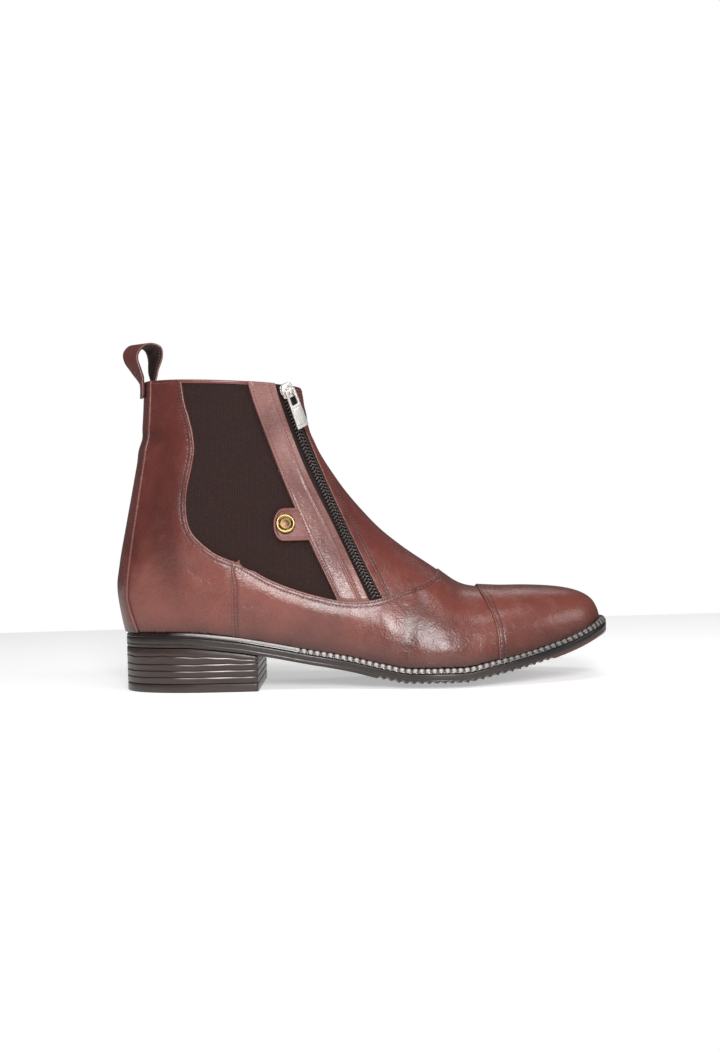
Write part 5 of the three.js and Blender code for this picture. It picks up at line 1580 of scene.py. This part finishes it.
def make_sock():
    """The sock over the insole board, out to the lining."""
    inner_skin = TABLE + NORMAL * (-WALL - 0.85)
    height = inner_skin[..., 2] - bed(inner_skin[..., 0]) - INSOLE_THICKNESS - GAP
    edges = []
    for i in range(ROWS + 1):
        pair = []
        for side in (slice(0, AROUND // 2 + 1), slice(AROUND, AROUND // 2 - 1, -1)):
            row, level = inner_skin[i, side], height[i, side]
            crossing = np.flatnonzero((level[:-1] <= 0) & (level[1:] > 0))
            if len(crossing):
                k = crossing[0]
                t = level[k] / (level[k] - level[k + 1])
                pair.append(row[k] * (1 - t) + row[k + 1] * t)
        if len(pair) == 2 and abs(pair[0][1] - pair[1][1]) > 1:
            edges.append(pair)
    edges = np.array(edges)[::2]
    shares = np.linspace(0, 1, 21)
    top = edges[:, None, 0] * (1 - shares[:, None]) + edges[:, None, 1] * shares[:, None]
    top[..., 2] = bed(top[..., 0]) + INSOLE_THICKNESS + GAP + 0.6 * np.abs(2 * shares - 1) ** 4
    low = top.copy()
    low[..., 2] = bed(low[..., 0]) + 0.3
    steps, count = top.shape[:2]
    index = np.arange(steps * count).reshape(steps, count)
    quads = np.stack([index[:-1, :-1], index[:-1, 1:], index[1:, 1:], index[1:, :-1]], 2).reshape(-1, 4)
    rim = np.concatenate([index[0], index[1:, -1], index[-1, -2::-1], index[-2:0:-1, 0]])
    after = np.roll(rim, -1)
    size = steps * count
    sides = np.stack([after, rim, rim + size, after + size], 1)
    piece = mesh_object("sock", np.vstack([top.reshape(-1, 3), low.reshape(-1, 3)]),
                        np.concatenate([quads, quads[:, ::-1] + size, sides]), sock_leather)
    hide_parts("insole")


# Zip

def zip_axes():
    point, normal = on_side(*along_side(SLIDER_PLACE))
    up = unit(point - on_side(*along_side(ZIP_MIDDLE[2]))[0])
    right = unit(np.cross(up, normal))
    return axes(right, up, np.cross(right, up), point)


ZIP_AXES = zip_axes()
HINGE_HEIGHT = CHAIN_HEIGHT + SLIDER_HEIGHT + GAP + PIN_RADIUS


def make_tape():
    region = np.minimum(-FACING_RIGHT, np.where(OUTER_SIDE, -PANEL, -9.0))
    sheet = Sheet(region, 0.5)
    for cut in (region + 1.0, COLLAR_DROP - 0.4, 4.0 - VAMP):
        sheet.keep(cut)
    sheet.weld()
    size = len(sheet.points)
    level = -GUSSET_RECESS
    points, triangles = closed_sheet(sheet, np.full(size, level), np.full(size, level - TAPE_THICKNESS))
    piece = mesh_object("zip_tape_cloth", points, triangles, zip_tape_cloth)
    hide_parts("zip_tape")


def tube(path, radii, sides, flat=1.0, up=None):
    """Points and faces of a round bar along a few points, closed by a point at both ends."""
    path = np.asarray(path, float)
    along = unit_rows(np.gradient(path, axis=0))
    reference = np.asarray(up, float)
    first = unit_rows(np.cross(along, reference))
    second = np.cross(first, along)
    angle = np.arange(sides) / sides * 2 * math.pi
    rings = path[:, None] + (
        np.cos(angle)[None, :, None] * first[:, None] + flat * np.sin(angle)[None, :, None] * second[:, None]
    ) * np.asarray(radii, float)[:, None, None]
    start = path[0] - along[0] * radii[0] * 0.6
    end = path[-1] + along[-1] * radii[-1] * 0.6
    points = np.vstack([rings.reshape(-1, 3), start, end])
    j = np.arange(sides)
    k = (j + 1) % sides
    size = len(path)
    triangles = []
    for i in range(size - 1):
        a = i * sides
        triangles.append(np.stack([a + j, a + k, a + sides + k], 1))
        triangles.append(np.stack([a + j, a + sides + k, a + sides + j], 1))
    last = (size - 1) * sides
    triangles += [np.stack([np.full(sides, size * sides), k, j], 1),
                  np.stack([np.full(sides, size * sides + 1), last + j, last + k], 1)]
    return points, np.concatenate(triangles)


def joined(parts):
    points, faces, start = [], [], 0
    for own, triangles in parts:
        points.append(own)
        faces.append(triangles + start)
        start += len(own)
    return np.concatenate(points), np.concatenate(faces)


COIL_PITCH = 2.2
COIL_HALF = 2.75
COIL_SLANT = 0.45


def zip_stations(pitch):
    """Points, upward direction, outward normal and direction to the right along the closed zip."""
    line = resampled(ZIP_LINE, pitch)
    normals = np.array([SURFACE.find_nearest(Vector(p))[1] for p in line])
    normals = normals * np.where(normals[:, 1] < 0, 1, -1)[:, None]
    for _ in range(3):
        normals[1:-1] = unit_rows(normals[:-2] + normals[1:-1] + normals[2:])
    up = unit_rows(-np.gradient(line, axis=0))
    right = unit_rows(np.cross(up, normals))
    return line, up, normals, right


def make_coil():
    line, up, normals, right = zip_stations(COIL_PITCH / 2)
    slider = ZIP_AXES[:3, 3]
    parts = []
    for i, place in enumerate(line):
        side = 1 if i % 2 else -1
        above = (place - slider) @ ZIP_AXES[:3, 1]
        apart = 0.0
        if above > -SLIDER_LENGTH * 0.3:
            if above < SLIDER_LENGTH * 0.35:
                continue
            apart = 0.9 + 0.35 * (above - SLIDER_LENGTH * 0.35)
        if vamp_distance(place) > 1.5:
            continue
        half = COIL_HALF
        shape = [(half + 0.1, -0.55, 0.50), (half, 0.35, 0.60), (half * 0.62, 1.0, 0.62), (0.3, 1.15, 0.58),
                 (-0.45, 0.75, 0.45)]
        path = [place + right[i] * side * (across + apart) + normals[i] * height
                - up[i] * COIL_SLANT * (across - half / 2) for across, height, _ in shape]
        parts.append(tube(path, [radius for *_, radius in shape], 7, 0.85, normals[i]))
    points, triangles = joined(parts)
    piece = mesh_object("zip_coil", points, triangles, coil_nylon)
    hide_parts("zip_chain")


def vamp_distance(place):
    """How far in front of the vamp's edge a place on the upper lies."""
    index = np.argmin(np.sum((GRID - place) ** 2, axis=1))
    return VAMP.ravel()[index]


def make_coil_threads():
    line, up, normals, right = zip_stations(1.5)
    keep = [i for i, place in enumerate(line) if vamp_distance(place) < 1.0
            and (place - ZIP_AXES[:3, 3]) @ ZIP_AXES[:3, 1] < -SLIDER_LENGTH * 0.3]
    parts = []
    for across in (-2.0, 2.0):
        path = line[keep] + right[keep] * across + normals[keep] * 1.3
        parts.append(tube(path, np.full(len(path), 0.2), 6, 1.0, normals[keep[len(keep) // 2]]))
    points, triangles = joined(parts)
    mesh_object("zip_coil_thread", points, triangles, dark_thread)


def plate_mesh(outline, thickness, bevel, holes=()):
    """Points and faces of a flat plate with rounded rims, in its own plane, about mid thickness."""
    curve = bpy.data.curves.new("plate", "CURVE")
    curve.dimensions = "2D"
    curve.fill_mode = "BOTH"
    curve.extrude = thickness / 2 - bevel
    curve.bevel_depth = bevel
    curve.bevel_resolution = 3
    curve.offset = -bevel
    for ring in (outline, *holes):
        spline = curve.splines.new("POLY")
        spline.points.add(len(ring) - 1)
        flat = np.column_stack([ring, np.zeros(len(ring)), np.ones(len(ring))])
        spline.points.foreach_set("co", flat.ravel())
        spline.use_cyclic_u = True
    holder = bpy.data.objects.new("plate", curve)
    bpy.context.scene.collection.objects.link(holder)
    mesh = bpy.data.meshes.new_from_object(holder.evaluated_get(bpy.context.evaluated_depsgraph_get()))
    whole = bmesh.new()
    whole.from_mesh(mesh)
    bmesh.ops.remove_doubles(whole, verts=whole.verts, dist=1e-3)
    bmesh.ops.triangulate(whole, faces=whole.faces)
    whole.verts.index_update()
    points = np.array([vertex.co[:] for vertex in whole.verts])
    triangles = np.array([[vertex.index for vertex in face.verts] for face in whole.faces])
    whole.free()
    bpy.data.objects.remove(holder)
    bpy.data.curves.remove(curve)
    bpy.data.meshes.remove(mesh)
    return points, triangles


def round_corners(corners, radius, steps=5):
    """A polygon with its corners rounded."""
    corners = np.asarray(corners, float)
    ring = []
    for before, corner, after in zip(np.roll(corners, 1, axis=0), corners, np.roll(corners, -1, axis=0)):
        start = corner + unit(before - corner) * radius
        end = corner + unit(after - corner) * radius
        for t in np.linspace(0, 1, steps):
            ring.append((1 - t) ** 2 * start + 2 * t * (1 - t) * corner + t ** 2 * end)
    return np.array(ring)


def make_slider():
    half, length = SLIDER_WIDTH / 2, SLIDER_LENGTH
    side = [(0.66, 0.0), (0.80, 0.18), (1.0, 0.45), (1.0, 0.68), (0.80, 0.93), (0.36, 1.0)]
    right_side = [(out * half, (up - 0.5) * length) for out, up in side]
    outline = right_side + [(-x, y) for x, y in right_side[::-1]]
    outline = round_corners(outline, 0.55, 4)
    base = CHAIN_HEIGHT - GAP
    upper_plate, upper_faces = plate_mesh(outline, 1.15, 0.35)
    lower_plate, lower_faces = plate_mesh(outline * 0.97, 0.9, 0.25)
    flange, flange_faces = plate_mesh(
        round_corners([
            (-half * 0.9, -length * 0.44), (half * 0.9, -length * 0.44), (half * 0.9, length * 0.3),
            (-half * 0.9, length * 0.3),
        ], 0.6), 1.2, 0.2)
    parts = [
        (upper_plate + (0, 0, base + SLIDER_HEIGHT - 0.58), upper_faces),
        (flange * (0.98, 1, 1) + (0, 0, base + 1.0), flange_faces),
        (lower_plate + (0, 0, base + 0.35), lower_faces),
    ]
    inner = PIN_RADIUS + GAP
    roof = inner + PIN_RADIUS
    half_span = inner + BRIDGE_BAR
    shoulder = roof * 0.6
    top = roof + BRIDGE_BAR * 0.85
    arch = [
        (-half_span - 0.9, 0.0), (-half_span - 0.25, shoulder), (-half_span + 0.5, top), (half_span - 0.5, top),
        (half_span + 0.25, shoulder), (half_span + 0.9, 0.0),
    ]
    hole = round_corners([(-inner, GAP), (inner, GAP), (inner, roof), (-inner, roof)], 0.5)
    bridge, bridge_faces = plate_mesh(round_corners(arch, 0.5), 2 * BRIDGE_BAR, 0.3, [hole])
    turned = np.stack([bridge[:, 2], bridge[:, 0], bridge[:, 1]], axis=1)
    parts.append((turned + (0, 0, base + SLIDER_HEIGHT - 0.1), bridge_faces))
    points, triangles = joined(parts)
    piece = mesh_object("zip_slider_metal", placed(points, ZIP_AXES), triangles, nickel)
    piece.data.set_sharp_from_angle(angle=math.radians(40))
    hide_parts("zip_slider")


def make_pull():
    half = PULL_WIDTH / 2
    top, end = PIN_RADIUS, PIN_RADIUS - PULL_LENGTH
    outline = round_corners([
        (-half * 0.86, top), (-half * 0.93, end * 0.45), (-half, end), (half, end), (half * 0.93, end * 0.45),
        (half * 0.86, top),
    ], 0.7)
    rim = PULL_RIM
    low = -PIN_RADIUS - PULL_WINDOW
    window = round_corners([
        (rim - half * 0.88, -PIN_RADIUS), (half * 0.88 - rim, -PIN_RADIUS), (half * 0.93 - rim, low),
        (rim - half * 0.93, low),
    ], 0.9)
    plate, faces = plate_mesh(outline, PULL_THICKNESS, 0.32, [window])
    inset = round_corners([
        (-half * 0.6, low - 2.0), (half * 0.6, low - 2.0), (half * 0.62, end + 1.9),
        (-half * 0.62, end + 1.9),
    ], 0.8)
    badge, badge_faces = plate_mesh(inset, 0.5, 0.2)
    points, triangles = joined([(plate, faces), (badge + (0, 0, PULL_THICKNESS / 2 + 0.02), badge_faces)])
    matrix = ZIP_AXES.copy()
    matrix[:3, 3] += ZIP_AXES[:3, 2] * HINGE_HEIGHT
    piece = mesh_object("zip_pull_metal", placed(points, matrix), triangles, nickel, body="pull")
    piece.data.set_sharp_from_angle(angle=math.radians(40))
    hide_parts("zip_pull")

# Assembly

make_quarters()
make_front_panel()
make_vamp()
make_toe_cap()
make_backstay()
make_facing()
make_binding()
make_gusset("elastic_outer", "gusset_outer", OUTER)
make_gusset("elastic_inner", "gusset_inner", INNER)
make_lining()
make_tab()
make_button()
make_loop()
make_welt()
make_outsole()
make_heel()
make_top_lift()
make_sock()
make_tape()
make_coil()
make_coil_threads()
make_slider()
make_pull()
stitch_mesh("stitches", stitch_lines, red_thread)


# Floor, light and camera

FLOOR_GLOW = 0.40


def make_floor():
    mesh = bpy.data.meshes.new("floor")
    half = 0.45
    corners = [(-half, -half, 0), (half, -half, 0), (half, half, 0), (-half, half, 0)]
    mesh.from_pydata(corners, [], [(0, 1, 2, 3)])
    floor = bpy.data.objects.new("floor", mesh)
    bpy.context.scene.collection.objects.link(floor)
    s = Shader("floor_paper", roughness=0.9, specular_ior_level=0.1)
    fibre = s.noise(3 * MM, 2.0)
    s.set(base_color=s.mix(fibre, (0.86, 0.86, 0.86), (0.90, 0.90, 0.90)), emission_color=(1, 1, 1),
          emission_strength=FLOOR_GLOW)
    mesh.materials.append(s.material)


def make_light(name, place, target, size, power):
    light = bpy.data.lights.new(name, "AREA")
    light.shape = "RECTANGLE"
    light.size, light.size_y = size
    light.energy = power
    lamp = bpy.data.objects.new(name, light)
    place, target = Vector(place), Vector(target)
    turn = (target - place).to_track_quat("-Z", "Y").to_matrix().to_4x4()
    lamp.matrix_world = Matrix.Translation(place) @ turn
    bpy.context.scene.collection.objects.link(lamp)


WORLD_LIGHT = 0.13


def make_world():
    """Soft light from all round, in front of a white backdrop."""
    world = bpy.data.worlds.new("studio")
    world.use_nodes = True
    tree = world.node_tree
    background = tree.nodes["Background"]
    background.inputs["Color"].default_value = (1, 1, 1, 1)
    path = tree.nodes.new("ShaderNodeLightPath")
    strength = tree.nodes.new("ShaderNodeMapRange")
    strength.inputs["To Min"].default_value = WORLD_LIGHT
    strength.inputs["To Max"].default_value = 1.0
    tree.links.new(path.outputs["Is Camera Ray"], strength.inputs["Value"])
    tree.links.new(strength.outputs["Result"], background.inputs["Strength"])
    bpy.context.scene.world = world


CAMERA_PLACE = (0.1007, -0.750, 0.0935)
CAMERA_ROLL = math.radians(1.6)
PHOTO_SIZE = (720, 1051)
FOCAL_PIXELS = 1250
SENSOR = 36.0


def make_camera():
    data = bpy.data.cameras.new("camera")
    data.sensor_fit = "VERTICAL"
    data.sensor_height = SENSOR
    data.lens = FOCAL_PIXELS / PHOTO_SIZE[1] * SENSOR
    camera = bpy.data.objects.new("camera", data)
    right = Vector((math.cos(CAMERA_ROLL), 0, -math.sin(CAMERA_ROLL)))
    up = Vector((math.sin(CAMERA_ROLL), 0, math.cos(CAMERA_ROLL)))
    turn = Matrix((right, up, right.cross(up))).transposed()
    camera.matrix_world = Matrix.Translation(CAMERA_PLACE) @ turn.to_4x4()
    bpy.context.scene.collection.objects.link(camera)
    bpy.context.scene.camera = camera


make_floor()
make_world()
AIM = (0.08, 0, 0.09)
make_light("key", (0.14, -1.0, 0.52), AIM, (0.34, 0.34), 8.3)
make_light("front", (0.09, -1.06, 0.28), AIM, (0.10, 0.26), 1.1)
make_light("side", (0.97, -0.42, 0.46), AIM, (0.50, 0.34), 2.2)
make_light("top", (0.06, -0.45, 1.20), AIM, (0.9, 0.2), 4.5)
make_light("back", (0.25, 0.75, 0.90), AIM, (0.7, 0.25), 1.2)
make_camera()
bpy.context.scene.view_settings.view_transform = "Standard"
